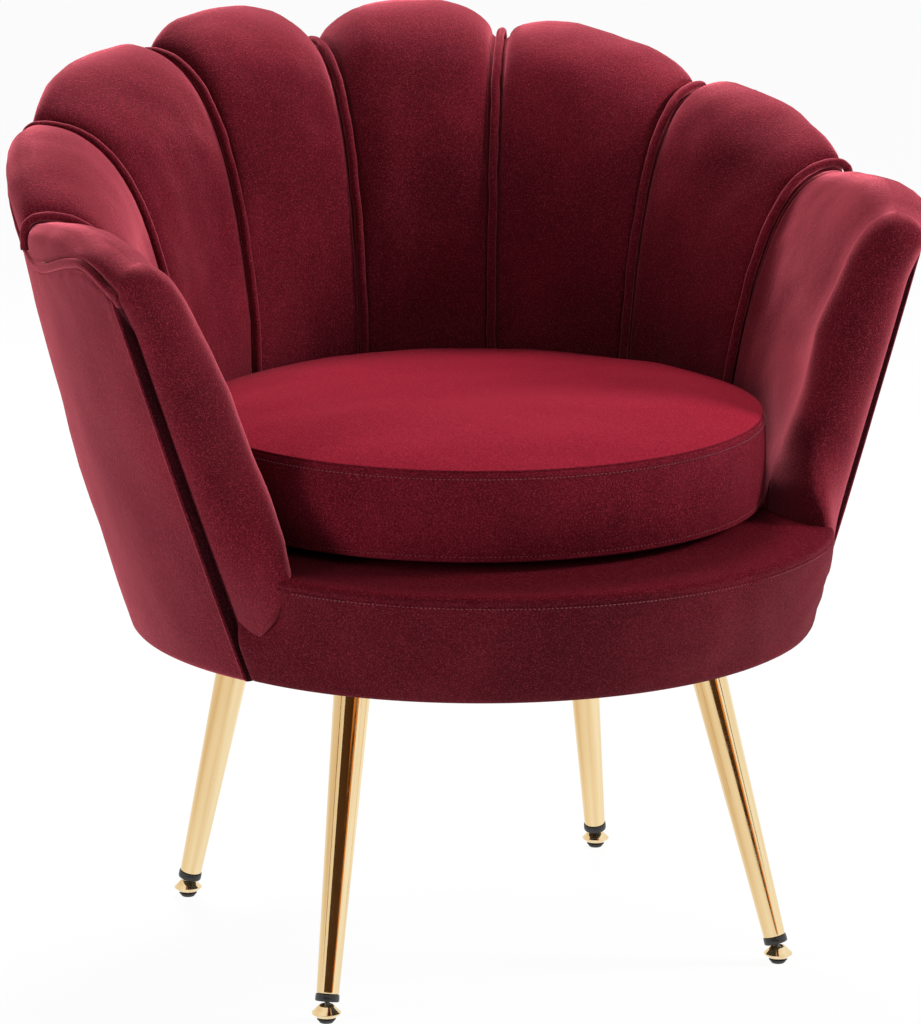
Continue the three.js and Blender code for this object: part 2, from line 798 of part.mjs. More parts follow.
// The turned plug in the top of a leg, cut level with it, and the stud that screws into the base
function legPlug(leg) {
  const frame = legFrame(leg);
  const length = legLength(frame);
  const start = length - plugLength;
  const end = length + overrun;
  const room = tubeWall + fit;
  const plug = turned([
    [0, start], [tubeRadius(start, length) - room, start],
    [tubeRadius(end, length) - room, end], [0, end],
  ], tubeSides);
  const level = cut(plug.applyMatrix4(frame.place), slab(legTop, legTop + clearSpan));
  const stud = rod(studRadius, start + studRadius, length + studLength);
  return join(level, stud.applyMatrix4(frame.place));
}

function studHole(leg) {
  const frame = legFrame(leg);
  const length = legLength(frame);
  return rod(studRadius + fit, length - overrun, length + studLength + fit).applyMatrix4(frame.place);
}

function collar() {
  const bore = stemRadius + fit;
  const spigot = tubeEndRadius - tubeWall - fit;
  return turned([
    [bore, neckLength], [collarRadius, neckLength], [collarRadius, tubeStart - fit],
    [spigot, tubeStart - fit], [spigot, tubeStart + collarSpigot],
    [bore, tubeStart + collarSpigot], [bore, neckLength],
  ], smallSides);
}

function glideStem() {
  const outline = [[0, -ballRadius]];
  const last = Math.PI - Math.asin(stemRadius / ballRadius);
  for (let i = 1; i <= ballSteps; i++) {
    const turn = (last * i) / ballSteps;
    outline.push([ballRadius * Math.sin(turn), -ballRadius * Math.cos(turn)]);
  }
  outline.push([stemRadius, stemLength], [0, stemLength]);
  return turned(outline, smallSides);
}

// The mouth of the disc's socket clears the stem of the leg that leans most
function mouthRadius(height) {
  const lean = Math.max(...allLegs().map(([, leg]) => Math.acos(legFrame(leg).direction.z)));
  return stemRadius / Math.cos(lean) + height * Math.tan(lean) + fit;
}

function glideDisc() {
  const foot = padHeight - ballHeight + fit;
  const top = foot + discHeight;
  const mouth = mouthRadius(top);
  const socket = ballRadius + socketGap;
  const outline = [
    [0, foot], [discFootRadius, foot], [discRadius, foot + discRimHeight - discRimWidth / 2],
    [discRadius, foot + discRimHeight + discRimWidth / 2], [discTopRadius, top], [mouth, top],
  ];
  const first = Math.PI - Math.asin(mouth / socket);
  for (let i = 0; i <= ballSteps; i++) {
    const turn = first * (1 - i / ballSteps);
    outline.push([socket * Math.sin(turn), -socket * Math.cos(turn)]);
  }
  return turned(outline, smallSides);
}

function glidePad() {
  return turned([
    [0, 0], [padRadius - padChamfer, 0], [padRadius, padChamfer],
    [padRadius, padHeight], [0, padHeight],
  ], smallSides);
}

// Assembly
const chair = new THREE.Group();

function add(name, geometry, finish, parent = chair) {
  const mesh = new THREE.Mesh(geometry, new THREE.MeshStandardMaterial(finish));
  mesh.name = name;
  parent.add(mesh);
}

function studHoles() {
  return allLegs().map(([, leg]) => studHole(leg));
}

function legPoint(radius, angle, side) {
  return [side * radius * Math.cos(degToRad(angle)), radius * Math.sin(degToRad(angle))];
}

function allLegs() {
  const sides = Object.entries({ right: 1, left: -1 });
  return Object.entries(legPlans).flatMap(([end, { foot, top }]) => sides.map(([name, side]) => [
    `${end}_${name}`,
    {
      foot: legPoint(bowlRadius + foot[0], foot[1], side),
      top: legPoint(ringInnerRadius - top[0], top[1], side),
    },
  ]));
}

function addLeg(name, leg) {
  const { ball, turn } = legFrame(leg);
  const along = new THREE.Group();
  along.position.copy(ball);
  along.quaternion.copy(turn);
  const level = new THREE.Group();
  level.position.copy(ball);
  chair.add(along, level);
  add(`leg_tube_${name}`, legTube(leg), gold);
  add(`leg_plug_${name}`, legPlug(leg), steel);
  add(`corner_block_${name}`, cornerBlock(leg), plywood);
  add(`leg_collar_${name}`, collar(), blackPlastic, along);
  add(`glide_stem_${name}`, glideStem(), steel, along);
  add(`glide_disc_${name}`, glideDisc(), gold, level);
  add(`glide_pad_${name}`, glidePad().translate(0, 0, -ballHeight), blackPlastic, level);
}

for (let number = 0; number <= lastSeam; number++) {
  const shape = petal(number);
  add(`petal_${armEnd - number}`, mirrored(shape), velvet);
  add(`petal_${armEnd + 1 + number}`, shape, velvet);
}
for (let seam = 0; seam <= lastSeam; seam++) {
  const cord = piping(seam);
  add(`seam_piping_${armEnd + seam}`, cord, velvetSide);
  if (seam) add(`seam_piping_${armEnd - seam}`, mirrored(cord), velvetSide);
}
add('outer_back_cover', outerCover(), velvetSide);
add('edge_welt', edgeWelt(), velvetSide);
add('plywood_shell', plywoodShell(), plywood);
add('deck_cover', deckCover(), velvet);
add('base_board', baseBoard(), plywood);
add('base_ring', baseRing(), plywood);
add('seat_webbing', seatWebbing(), webbing);
add('deck_foam', deckFoam(), foam);
add('dust_cover', dustCover(), dustCloth);
add('cushion_cover', cushionCover(), velvet);
add('cushion_foam', cushionPad(cushionCloth + fit, coreSteps, hiddenSides), foam);
add('cushion_zip', cushionZip(), blackPlastic);
add('zip_slider', zipSlider(), steel);
for (const [name, leg] of allLegs()) addLeg(name, leg);

// The origin is under the middle of the chair, on the floor
const bounds = new THREE.Box3().setFromObject(chair, true);
chair.position.y = -(bounds.min.y + bounds.max.y) / 2;

export default chair;
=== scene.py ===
"""Scallop back chair in crimson velvet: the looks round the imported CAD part.

Sizes are in millimetres in the seat's own frame (seat axis at x = y = 0), as in the CAD source, and
turn into the row frame's metres when a mesh is made.
"""

import math
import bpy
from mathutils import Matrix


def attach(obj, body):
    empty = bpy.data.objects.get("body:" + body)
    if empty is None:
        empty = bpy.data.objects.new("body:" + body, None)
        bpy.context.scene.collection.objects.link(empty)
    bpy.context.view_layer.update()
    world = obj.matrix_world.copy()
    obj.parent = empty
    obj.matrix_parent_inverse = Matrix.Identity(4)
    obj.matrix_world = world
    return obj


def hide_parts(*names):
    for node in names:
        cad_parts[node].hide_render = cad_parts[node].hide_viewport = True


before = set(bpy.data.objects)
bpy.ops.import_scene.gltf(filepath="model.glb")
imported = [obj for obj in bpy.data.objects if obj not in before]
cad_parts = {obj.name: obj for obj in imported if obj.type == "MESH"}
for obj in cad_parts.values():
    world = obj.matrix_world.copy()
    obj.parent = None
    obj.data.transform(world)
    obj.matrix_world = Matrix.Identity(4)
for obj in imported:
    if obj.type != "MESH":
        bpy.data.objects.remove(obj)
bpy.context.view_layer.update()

import bmesh
import bpy
import numpy as np
from mathutils import Matrix, Vector

IMAGE = (921, 1024)  # the photograph's size in pixels
SHIFT_Y = -29.83  # the seat axis in the row frame

# Sizes shared with the CAD source: seat base and bowl, petals, arm, cover, welt and legs
FIT = 0.3
DECK = 379
BASE_FOOT = 283
BASE_FOOT_RADIUS, DECK_RADIUS = 285, 290
BASE_FOOT_FORWARD, DECK_FORWARD = 18, 51
BOWL = 249
PETAL_ANGLES = (26.6, 28.6, 27.8)
RIM_HEIGHTS = (724, 728, 688, 640, 607)
LOBE_RISES = (34, 27, 22, 22)
SHOULDER = 0.54
LEAN_DEPTH, LEAN_OUT = 225, 2
FLARE_DEPTH, FLARE_OUTS = 85, (22, 22, 22, 24, 44)
LIP_OUTS = (51, 51, 51, 54, 78)
RIM_INSET, CURL_OUT = 14, 20
SEAT_CROWN, CURL_CROWN, CROWN_GROWTH = 3, 4, 1.3
GROOVE_DEPTH, GROOVE_WIDTH = 5, 5.5
ARM_FACING = 114
ARM_TOP_SETBACK, ARM_FOOT_SETBACK = -129, -139
COVER_FOOT, COVER_FOOT_RADIUS = 281, 289
COVER_TOPS = (386, 386, 386, 376, 373)
COVER_BOW, COVER_THICKNESS, PLY_THICKNESS, PAD_FIT = 5, 5, 14, 0.5
SHELL_DEPTH = COVER_THICKNESS + PAD_FIT + PLY_THICKNESS
WELT_WIDTH, WELT_PROUD, WELT_DEPTH, WELT_GAP = 8, 2, 36, 1.8
WELT_LOBES = (24, 22, 20, 49)
EDGE_SHARES = (2, 2, 2, 3.8)
WELT_CORNER, WELT_CORNER_SHARE = 20, 0.25
LEGS = {"front": ((278.2, -42.5), (199.1, -38.9)), "back": ((265.5, 42.1), (202.3, 40))}
TUBE_TOP, TUBE_END, TUBE_WALL = 15.8, 9.3, 1.2
LEG_TOP = 281.4
BALL_HEIGHT, NECK, COLLAR_RADIUS, COLLAR_HEIGHT = 10.3, 7, 10, 6.5
STEM_RADIUS, STEM_LENGTH, BALL_RADIUS = 2.2, 45, 4.5

# Sizes of the velvet alone
ARM_LOBE_STATIONS = (0, 0.06, 0.1, 0.2, 0.3, 0.4, 0.5, 0.6, 0.7, 0.85, 1)
ARM_LOBE_LIFTS = (0, -6.5, -8, -7, -5, -1.5, 2.5, 5.5, 7, 6.5, 1)
ARM_CURL_LOSS, BELLY_SHARE = 6, 0.55
ROLL_FOOT, ROLL_NOSE_FOOT, ROLL_TOP_REACH = 318, 360, 26
ROLL_FOOT_REACH, ROLL_FOOT_RISE = (-4, -72), 0.42  # it hangs over the base's edge
ROLL_CAP = 44
ROLL_INSET = 7  # of the soft roll's outer side, between its top and foot
WELT_RECESS = 9  # down the arm's front, where it lies in the groove behind the roll
PIPING_RADIUS, PIPING_PROUD, PIPING_END_GAP = 3.9, 1.8, 1.2
PIPING_WANDER, PIPING_RIPPLE = 0.35, 0.03
CUSHION_RADIUS, CUSHION_SIDE, CUSHION_BULGE, CUSHION_CROWN = 242, 74.5, 3.5, 20
CUSHION_SAG, CUSHION_FORWARD, CUSHION_ASIDE = 8.5, 7, 2

LAST = len(PETAL_ANGLES)
ARM_END = LAST + 1
PAD_FOOT = DECK + FIT
AHEAD = WELT_WIDTH + FIT  # of the arm's velvet before the cover's front edge
CREST_STEP, END_STEP = 8, 11  # steps up a petal's face: 1 to 8 is the flare, 8 to 11 the roll


# Meshes
def lerp(a, b, share):
    return a + (b - a) * share


def put(name, data):
    thing = bpy.data.objects.new(name, data)
    bpy.context.scene.collection.objects.link(thing)
    return thing


def make_mesh(name, surface, look, slot, body="chair", sharp=0, place=None):
    """A piece from points, in millimetres in the seat's frame or in a leg's own frame, and faces."""
    points, faces = surface
    points = np.asarray(points, float)
    if place is None:
        points = points + [0, SHIFT_Y, 0]
    mesh = bpy.data.meshes.new(name)
    mesh.from_pydata((points / 1000).tolist(), [], faces)
    mesh.validate()
    work = bmesh.new()
    work.from_mesh(mesh)
    bmesh.ops.remove_doubles(work, verts=work.verts, dist=1e-6)
    bmesh.ops.recalc_face_normals(work, faces=work.faces)
    work.to_mesh(mesh)
    work.free()
    mesh.polygons.foreach_set("use_smooth", [True] * len(mesh.polygons))
    if sharp:
        mesh.set_sharp_from_angle(angle=math.radians(sharp))
    piece = put(name, mesh)
    if place is not None:
        piece.matrix_world = place
    mesh.materials.append(looks[look])
    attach(piece, body)
    return piece


def stand_in(node, ending, *rest):
    """A piece in the place of a CAD node, and named after it."""
    piece = make_mesh(f"{node}_{ending}", *rest)
    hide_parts(node)
    return piece


def skin(rings, caps=True):
    """Points and faces of a skin over closed rings of equal length."""
    rings = np.asarray(rings, float)
    rows, count = rings.shape[:2]
    faces = []
    for i in range(rows - 1):
        for j in range(count):
            k = (j + 1) % count
            faces.append((i * count + j, i * count + k, (i + 1) * count + k, (i + 1) * count + j))
    if caps:
        faces.append(tuple(range(count))[::-1])
        faces.append(tuple((rows - 1) * count + j for j in range(count)))
    return rings.reshape(-1, 3), faces


def merged(surfaces):
    """One surface from several."""
    points, faces = [], []
    for more, extra in surfaces:
        faces += [tuple(i + len(points) for i in face) for face in extra]
        points.extend(more)
    return points, faces


def circle(count):
    """Evenly spaced angles all the way round."""
    return np.linspace(0, 2 * math.pi, count, endpoint=False)


def spokes(angles):
    """Level directions at the angles."""
    return np.stack([np.cos(angles), np.sin(angles), angles * 0], 1)


def turned(outline, sides):
    """Rings of a turned piece about Z from (radius, height) points."""
    return [spokes(circle(sides)) * radius + [0, 0, z] for radius, z in outline]


def unit(vector):
    return vector / np.linalg.norm(vector)


def distances(points):
    """How far along a line each of its points is."""
    return np.concatenate([[0], np.cumsum(np.linalg.norm(np.diff(points, axis=0), axis=1))])


def look_up(table, along, wanted):
    """A table's values at the distances wanted, where along holds its rows' own distances."""
    return np.stack([np.interp(wanted, along, table[:, i]) for i in range(3)], -1)


def mirrored(rings):
    return [np.asarray(ring) * [-1, 1, 1] for ring in rings]


def on_side(rings, side):
    """Rings made for the right side, on the right (1) or the left (-1)."""
    return rings if side > 0 else mirrored(rings)


def hump(distance, middle, width):
    return math.exp(-(((distance - middle) / width) ** 2))


draws = np.random.RandomState(7)
WAVES = [(draws.normal(size=(12, 3)), draws.uniform(0, 2 * math.pi, 12)) for _ in range(4)]


def unevenness(points, size, family=0):
    """Smooth random field of about unit size over points, with features about size millimetres wide."""
    directions, phases = WAVES[family]
    turns = np.asarray(points) @ directions.T * (2 * math.pi / size) * 0.6 + phases
    return np.sin(turns).sum(-1) / math.sqrt(6)


def soft_waves(points, waves):
    """A sum of uneven fields, each given by its height, width and family."""
    return sum(height * unevenness(points, width, family) for height, width, family in waves)


def puckers(points, along, distance, style):
    """Gathers along a seam. Style is their pitch, their wander, its width and family, and their reach."""
    pitch, wander, width, family, reach = style
    return np.sin(along / pitch + wander * unevenness(points, width, family)) * math.exp(-distance / reach)


# The shell's plan: station 0 is the back's middle, seams are whole stations, 4 is the arm's front
def lip_share(petal):
    return GROOVE_WIDTH / (BOWL * math.radians(PETAL_ANGLES[min(petal, LAST - 1)]))


def petal_of(station):
    return min(int(station), LAST)


def scallop(station):
    petal = petal_of(station)
    lip = lip_share(petal)
    end = 1 - lip if petal < LAST else 2 - lip
    across = min(max((station - petal - lip) / (end - lip), 0), 1)
    return (4 * across * (1 - across)) ** SHOULDER


def between(table, station):
    low = petal_of(station)
    return lerp(table[low], table[low + 1], station - low)


def rim_height(station):
    return between(RIM_HEIGHTS, station)


def welt_height(station):
    corner = max(1 - (ARM_END - station) / WELT_CORNER_SHARE, 0)
    petal = petal_of(station)
    lobe = WELT_LOBES[petal] * scallop(station) ** EDGE_SHARES[petal]
    return rim_height(station) - WELT_DEPTH + lobe - WELT_CORNER * corner * corner


def pad_end(station):
    """Height at which the rolled rim ends, just above the welt."""
    return welt_height(station) + WELT_WIDTH + WELT_GAP


def cover_radius(station, z):
    rise = (z - COVER_FOOT) / (rim_height(station) - WELT_DEPTH - COVER_FOOT)
    top = between(COVER_TOPS, station)
    bow = COVER_BOW * min(ARM_END - station, 1)
    return lerp(COVER_FOOT_RADIUS, top, rise) + bow * 4 * rise * (1 - rise)


def wall_point(station, radius, z, ahead=0.0):
    """Point of the leaning wall at a radius; ahead moves the arm's front edge forward."""
    seams = np.concatenate([[0], np.cumsum(np.radians(PETAL_ANGLES))])
    whole = petal_of(station)
    cover = cover_radius(station, z)
    if whole < LAST:
        angle = facing = lerp(seams[whole], seams[whole + 1], station - whole)
    else:
        top = RIM_HEIGHTS[-1]
        setback = lerp(ARM_FOOT_SETBACK, ARM_TOP_SETBACK, (z - COVER_FOOT) / (top - COVER_FOOT))
        edge = math.acos((setback - ahead) / cover_radius(ARM_END, z))
        angle = lerp(seams[LAST], edge, station - LAST)
        facing = lerp(seams[LAST], math.radians(ARM_FACING), station - LAST)
    inward = cover - radius
    return np.array([
        cover * math.sin(angle) - inward * math.sin(facing),
        cover * math.cos(angle) - inward * math.cos(facing),
        z,
    ])


def cover_point(station, z, out=0.0, ahead=0.0):
    """Point of the cover's wall, or outward from it."""
    return wall_point(station, cover_radius(station, z) + out, z, ahead)


def bezier(corners, share):
    """Point of a curve and the outward direction there."""
    a, b, c, d = (np.array(corner, float) for corner in corners)
    back = 1 - share
    point = back**3 * a + 3 * back**2 * share * b + 3 * back * share**2 * c + share**3 * d
    along = 3 * back**2 * (b - a) + 6 * back * share * (c - b) + 3 * share**2 * (d - c)
    return point, unit(np.array([-along[1], along[0]]))


def lobe_height(station):
    """Rise of the rim over its seams; the arm's lobe leans to its front."""
    petal = petal_of(station)
    rise = LOBE_RISES[petal] * scallop(station)
    if petal < LAST:
        return rise
    return rise + float(np.interp(station - LAST, ARM_LOBE_STATIONS, ARM_LOBE_LIFTS))


def face_curves(station):
    rim, welt = rim_height(station), welt_height(station)
    end = cover_radius(station, welt) + WELT_PROUD
    level = between(COVER_TOPS, station) - RIM_INSET
    flare = (
        (BOWL + LEAN_OUT, rim - LEAN_DEPTH),
        (BOWL + between(FLARE_OUTS, station), rim - FLARE_DEPTH),
        (BOWL + between(LIP_OUTS, station), rim), (level, rim),
    )
    curl = (
        (level, rim), (level + CURL_OUT, rim),
        (end, lerp(rim, welt, 1 / 3)), (end, pad_end(station)),
    )
    return flare, curl


def face_point(station, step):
    """Point, outward direction and swell; step 0 is the foot and the last the end of the bare curl."""
    flare, curl = face_curves(station)
    seat = SEAT_CROWN * scallop(station)
    if step < 1:
        start, _ = bezier(flare, 0)
        return lerp(np.array([BOWL, PAD_FOOT]), start, step), np.array([-1.0, 0.0]), seat
    if step <= CREST_STEP:
        share = (step - 1) / (CREST_STEP - 1)
        point, out = bezier(flare, share)
    else:
        share = (step - CREST_STEP) / (END_STEP - CREST_STEP)
        point, out = bezier(curl, share)
    return point, out, lerp(seat, lobe_height(station), share**CROWN_GROWTH)


# Petals
FACE = np.concatenate([
    [0, 0.5], np.linspace(1, CREST_STEP, 36), np.linspace(CREST_STEP, END_STEP, 17)[1:]])
CREST = int(np.argmin(np.abs(FACE - CREST_STEP)))
FACE_POINTS, CURL_POINTS = 64, 13
PETAL_TURN = 0.48  # a petal's turn round the seat, in radians
CLEAR_OF_SEAMS = 200
PETAL_WAVES = ((1.2, 95, 0), (0.35, 34, 1))
PETAL_PUCKERS, PUCKER_HEIGHT = (2.1, 2, 60, 2, 9), 0.3
BULB_HEIGHT, BULB_STATION, BULB_WIDTH = 7, 3.32, 0.27
BULB_STEP, BULB_STEPS = 8.2, 1.7
ROLL_SWELLS, ROLL_WAVE = (1.15, 0.85), (1, 90, 3)


def petal_stations(petal):
    lip = lip_share(petal)
    edge = petal + lip * np.array([0, 0.35, 0.7, 0.92])
    if petal == LAST:
        turn = np.linspace(0, math.pi / 2, 17)
        return [*edge, *(petal + lip + (1 - lip) * (1 - np.cos(turn)))]
    turn = np.linspace(0, math.pi, 25)
    middle = petal + lip + (1 - 2 * lip) * (1 - np.cos(turn)) / 2
    return [*edge, *middle, *(petal + 1 - (edge - petal))[::-1]]


def groove(station):
    petal = petal_of(station)
    lip = lip_share(petal)
    near = station - petal
    if petal < LAST:
        near = min(near, petal + 1 - station)
    return GROOVE_DEPTH * max(1 - (near / lip) ** 2, 0) if near < lip else 0.0


def padding(place, station, step, side):
    """Small dents, and puckers along the seams, of the velvet over its padding."""
    seed = place * [side, 1, 1]
    near = abs(station - round(station)) * BOWL * PETAL_TURN
    if petal_of(station) == LAST and station - LAST > 0.5:
        near = CLEAR_OF_SEAMS
    soft = soft_waves(seed, PETAL_WAVES) * min(max(near - 2, 0) / 25, 1)
    pucker = PUCKER_HEIGHT * puckers(seed, place[2], near, PETAL_PUCKERS) * min(near / 3, 1)
    return soft + pucker + (left_bulb(station, step) if side < 0 else 0)


def left_bulb(station, step):
    """The left arm's lobe is a little fuller than the right one's."""
    return BULB_HEIGHT * hump(station, BULB_STATION, BULB_WIDTH) * hump(step, BULB_STEP, BULB_STEPS)


def curl_point(station, share):
    """Point and outward direction on the rolled rim, from its crest down to the welt."""
    flare, curl = face_curves(station)
    level, rim = flare[3]
    end, foot = curl[3]
    top = rim + lobe_height(station) - groove(station)
    belly = end - groove(station) + CURL_CROWN * scallop(station) * min(ARM_END - station, 1)
    out = CURL_OUT - ARM_CURL_LOSS * max(station - LAST, 0)
    corners = ((level, top), (level + out, top), (belly, lerp(top, foot, BELLY_SHARE)), (end, foot))
    return bezier(corners, share)


def petal_section(station, side):
    """Closed ring round a petal: up its face, over the rolled rim and down its hidden back."""
    top = pad_end(station)
    ring = []
    for step in FACE:
        if step > CREST_STEP:
            point, out = curl_point(station, (step - CREST_STEP) / (END_STEP - CREST_STEP))
            lift = 0
        else:
            point, out, swell = face_point(station, step)
            lift = swell - groove(station)
        here = wall_point(station, point[0], point[1], AHEAD)
        if 0.5 < step < END_STEP:
            lift += padding(here, station, step, side) * min((END_STEP - step) * 1.5, 1)
        moved = point + out * lift
        if step == 0:
            moved[1] = PAD_FOOT
        if step == END_STEP:
            moved[1] = top
        ring.append(wall_point(station, moved[0], moved[1], AHEAD))
    for z in np.linspace(top, PAD_FOOT, 6):
        ring.append(cover_point(station, z, -SHELL_DEPTH - PAD_FIT, AHEAD))
    return np.array(ring)


def roll_side(z):
    """Outer side of the front roll, drawn in behind the welt between its top and foot."""
    rise = (z - ROLL_FOOT) / (pad_end(ARM_END) - ROLL_FOOT)
    inset = ROLL_INSET * min((1 - rise) * 8, 1)
    return cover_point(ARM_END, z, WELT_PROUD - inset, AHEAD)


def smoothed(points):
    """The same line after each point has twice moved to the mean of its neighbours."""
    reach = 5
    kernel = np.ones(2 * reach + 1) / (2 * reach + 1)
    for _ in range(2):
        padded = np.concatenate([[points[0]] * reach, points, [points[-1]] * reach])
        points = np.stack([np.convolve(padded[:, i], kernel, "valid") for i in range(3)], 1)
    return points


def evenly(points, count):
    """The same line in points at even distances."""
    points = np.asarray(points)
    along = distances(points)
    return look_up(points, along, np.linspace(0, along[-1], count))


def last_section(section):
    """A section of the last petal with its points at even distances, as the front roll needs them."""
    face, curl, behind = section[:CREST + 1], section[CREST:len(FACE)], section[len(FACE):]
    return np.concatenate([evenly(face, FACE_POINTS), evenly(curl, CURL_POINTS)[1:], behind])


def roll_lines(section):
    """The line from which the front roll starts, and the spine that it is drawn in to."""
    face = section[:FACE_POINTS].copy()
    low = np.linspace(0, 1, FACE_POINTS)
    face[:, 2] -= (PAD_FOOT - ROLL_FOOT) * np.clip(1 - low * 12, 0, 1)
    heights = np.linspace(ROLL_FOOT, pad_end(ARM_END), 50)
    behind = evenly([roll_side(z) for z in heights], FACE_POINTS - CURL_POINTS + 1)
    outer = np.concatenate([behind[:-1], section[FACE_POINTS - 1:FACE_POINTS + CURL_POINTS - 1][::-1]])
    centre = (face + outer) / 2
    to_crest = distances(face[::-1])[:0:-1]
    cap = int(np.sum(to_crest > ROLL_CAP))
    centre[cap:] = centre[cap]
    centre = smoothed(centre)
    return np.concatenate([face, outer[::-1][1:]]), np.concatenate([centre, centre[::-1][1:]])


def front_roll(side, section):
    """Rings that carry the arm's padding round the front edge of the shell to a rounded nose."""
    start, spine = roll_lines(section)
    rise = np.clip((spine[:, 2] - ROLL_FOOT) / (spine[FACE_POINTS - 1][2] - ROLL_FOOT), 0, 1)
    facing = math.radians(ARM_FACING)
    along = ROLL_TOP_REACH * np.array([math.cos(facing), -math.sin(facing), 0])
    along = along * lerp(*ROLL_SWELLS, rise * rise)[:, None]
    down = np.clip(1 - rise / ROLL_FOOT_RISE, 0, 1)[:, None]
    down = down * down * (3 - 2 * down) * (np.array([*ROLL_FOOT_REACH, 0]) - along)
    rings = []
    for turn in np.linspace(0, math.pi / 2, 19):
        push = math.sin(turn)
        ring = spine + (start - spine) * math.cos(turn) + along * push + down * push**1.2
        ring[:, 2] += (ROLL_NOSE_FOOT - ROLL_FOOT) * (1 - rise) ** 2 * push**2
        ring[:, 0] += soft_waves(ring * [side, 1, 1], [ROLL_WAVE]) * push
        rings.append(ring)
    return rings


def add_front_roll(points, faces, side, section):
    """The last petal with its front roll on the ring that ends it."""
    # the hidden face between the petal and its roll has its own points, so it doesn't crease them
    size, end = len(section), faces.pop()
    faces.append(tuple(i + size for i in end))
    points = np.concatenate([points, points[-size:] + [0, 0.02, 0]])
    return merged([(points, faces), skin(on_side(front_roll(side, section), side), caps=False)])


def make_petal(number, side):
    name = f"petal_{ARM_END + 1 + number if side > 0 else ARM_END - number}"
    rings = [petal_section(s, side) for s in petal_stations(number)]
    if number == LAST:
        rings = [last_section(ring) for ring in rings]
    points, faces = skin(on_side(rings, side))
    if number == LAST:
        points, faces = add_front_roll(points, faces, side, rings[-1])
    piece = stand_in(name, "padded", (points, faces), "petal", "velvet")


def make_piping(seam, side):
    rings = []
    angle = math.radians(sum(PETAL_ANGLES[:seam]))
    sideways = np.array([math.cos(angle), -math.sin(angle), 0])
    for step in [*np.linspace(0, CREST_STEP, 60), *np.linspace(CREST_STEP, END_STEP, 30)[1:]]:
        point, out, _ = face_point(seam, step)
        if step == END_STEP:
            point = point + [0, PIPING_END_GAP]
        wander = PIPING_WANDER * unevenness([point[0], seam * 90 * side, point[1]], 45)
        radius = PIPING_RADIUS * (1 + PIPING_RIPPLE * math.sin(step * 9))
        ring = []
        for turn in circle(14):
            spot = point + out * (PIPING_PROUD + radius * math.cos(turn))
            ring.append(wall_point(seam, *spot) + sideways * (radius * math.sin(turn) + wander))
        rings.append(ring)
    node = f"seam_piping_{ARM_END + seam * side}"
    stand_in(node, "cord", skin(on_side(rings, side)), "trim", "velvet_trim")


# Outer cover and welt
ARM_ARC = 250  # rough length of the last petal's wall
EDGE_DISTANCES = (40, 28, 18, 12, 8, 6, 4.6, 3.6, 2.8, 2.1, 1.5, 0.9, 0.4, 0)
COVER_DEPTHS = (0, 0.5, 1.1, 1.9, 3, 4.5, 7, 10, 14, 19, 25, 32, 42, 55, 75)
COVER_RISES = (2.5, 0.8, 0)  # its last rows above its foot
COVER_WAVES = ((0.5, 130, 1), (0.25, 45, 3))
COVER_GATHERS, GATHER_HEIGHT = (2.6, 2.5, 40, 2, 16), 0.75
EDGE_BEAD, SEAM_LINE = (1.4, 2.6, 1.7), (0.7, 3.2, 1.6)  # height, distance from the edge and width
STATION_LENGTH = 130  # rough length of a petal's width on the cover


def dense_stations():
    """Stations from the back's middle to the arm's front, closer together at the seams and the edge."""
    stations = []
    for petal in range(ARM_END):
        turn = np.linspace(0, math.pi, 29)
        spaced = (1 - np.cos(turn)) / 2 * 0.5 + np.linspace(0, 1, 29) * 0.5
        stations.extend(petal + spaced[:-1])
    stations = [s for s in stations if s < ARM_END - 0.17]
    return stations + [ARM_END - distance / ARM_ARC for distance in EDGE_DISTANCES]


def both_sides(right):
    """A run of rings over the right half, after its mirror image over the left."""
    return mirrored(right[1:])[::-1] + list(right)


def cover_lift(station, z, side):
    """Height of the cover's velvet over its plain wall: seam line, gathers, beaded edge and soft waves."""
    below, above = welt_height(station) - z, z - COVER_FOOT
    from_edge = (ARM_END - station) * ARM_ARC
    seed = cover_point(station, z) * [side, 1, 1]
    bead = EDGE_BEAD[0] * hump(from_edge, *EDGE_BEAD[1:])
    seam = SEAM_LINE[0] * hump(below, *SEAM_LINE[1:])
    tuck = 2.2 * max(1 - from_edge / 1.6, 0) ** 1.6
    round_top = 1.7 * max(1 - below / 1.9, 0) ** 2
    round_foot = 2 * max(1 - above / 2.5, 0) ** 2
    fade = min(below / 30, 1) * min(above / 20, 1) * min(from_edge / 30, 1)
    soft = soft_waves(seed, COVER_WAVES) * fade
    gather = puckers(seed, station * STATION_LENGTH * side, below, COVER_GATHERS)
    gather *= 0.25 + 0.75 * max(station - 2.6, 0) / 1.4
    gather *= GATHER_HEIGHT * min(below / 3, 1) * min(from_edge / 12, 1)
    return bead - tuck - round_top - round_foot + soft - seam + gather


def cover_section(station, side):
    """Closed ring over the cover's thickness, from inside its foot over its top and down the outside."""
    top = welt_height(station)
    ring = [cover_point(station, z, -COVER_THICKNESS) for z in (COVER_FOOT, top)]
    heights = [top - depth for depth in COVER_DEPTHS]
    heights += [*np.linspace(top - 95, COVER_FOOT + 6, 16), *(COVER_FOOT + rise for rise in COVER_RISES)]
    for z in heights:
        ring.append(cover_point(station, z, cover_lift(station, z, side)))
    return ring


def make_cover():
    stations = dense_stations()
    right = [cover_section(s, 1) for s in stations]
    left = mirrored([cover_section(s, -1) for s in stations[1:]])[::-1]
    stand_in("outer_back_cover", "panel", skin(left + right), "cover", "velvet_trim")


ACROSS = (0, 0.03, 0.1, 0.2, 0.35, 0.5, 0.65, 0.8, 0.9, 0.97, 1)


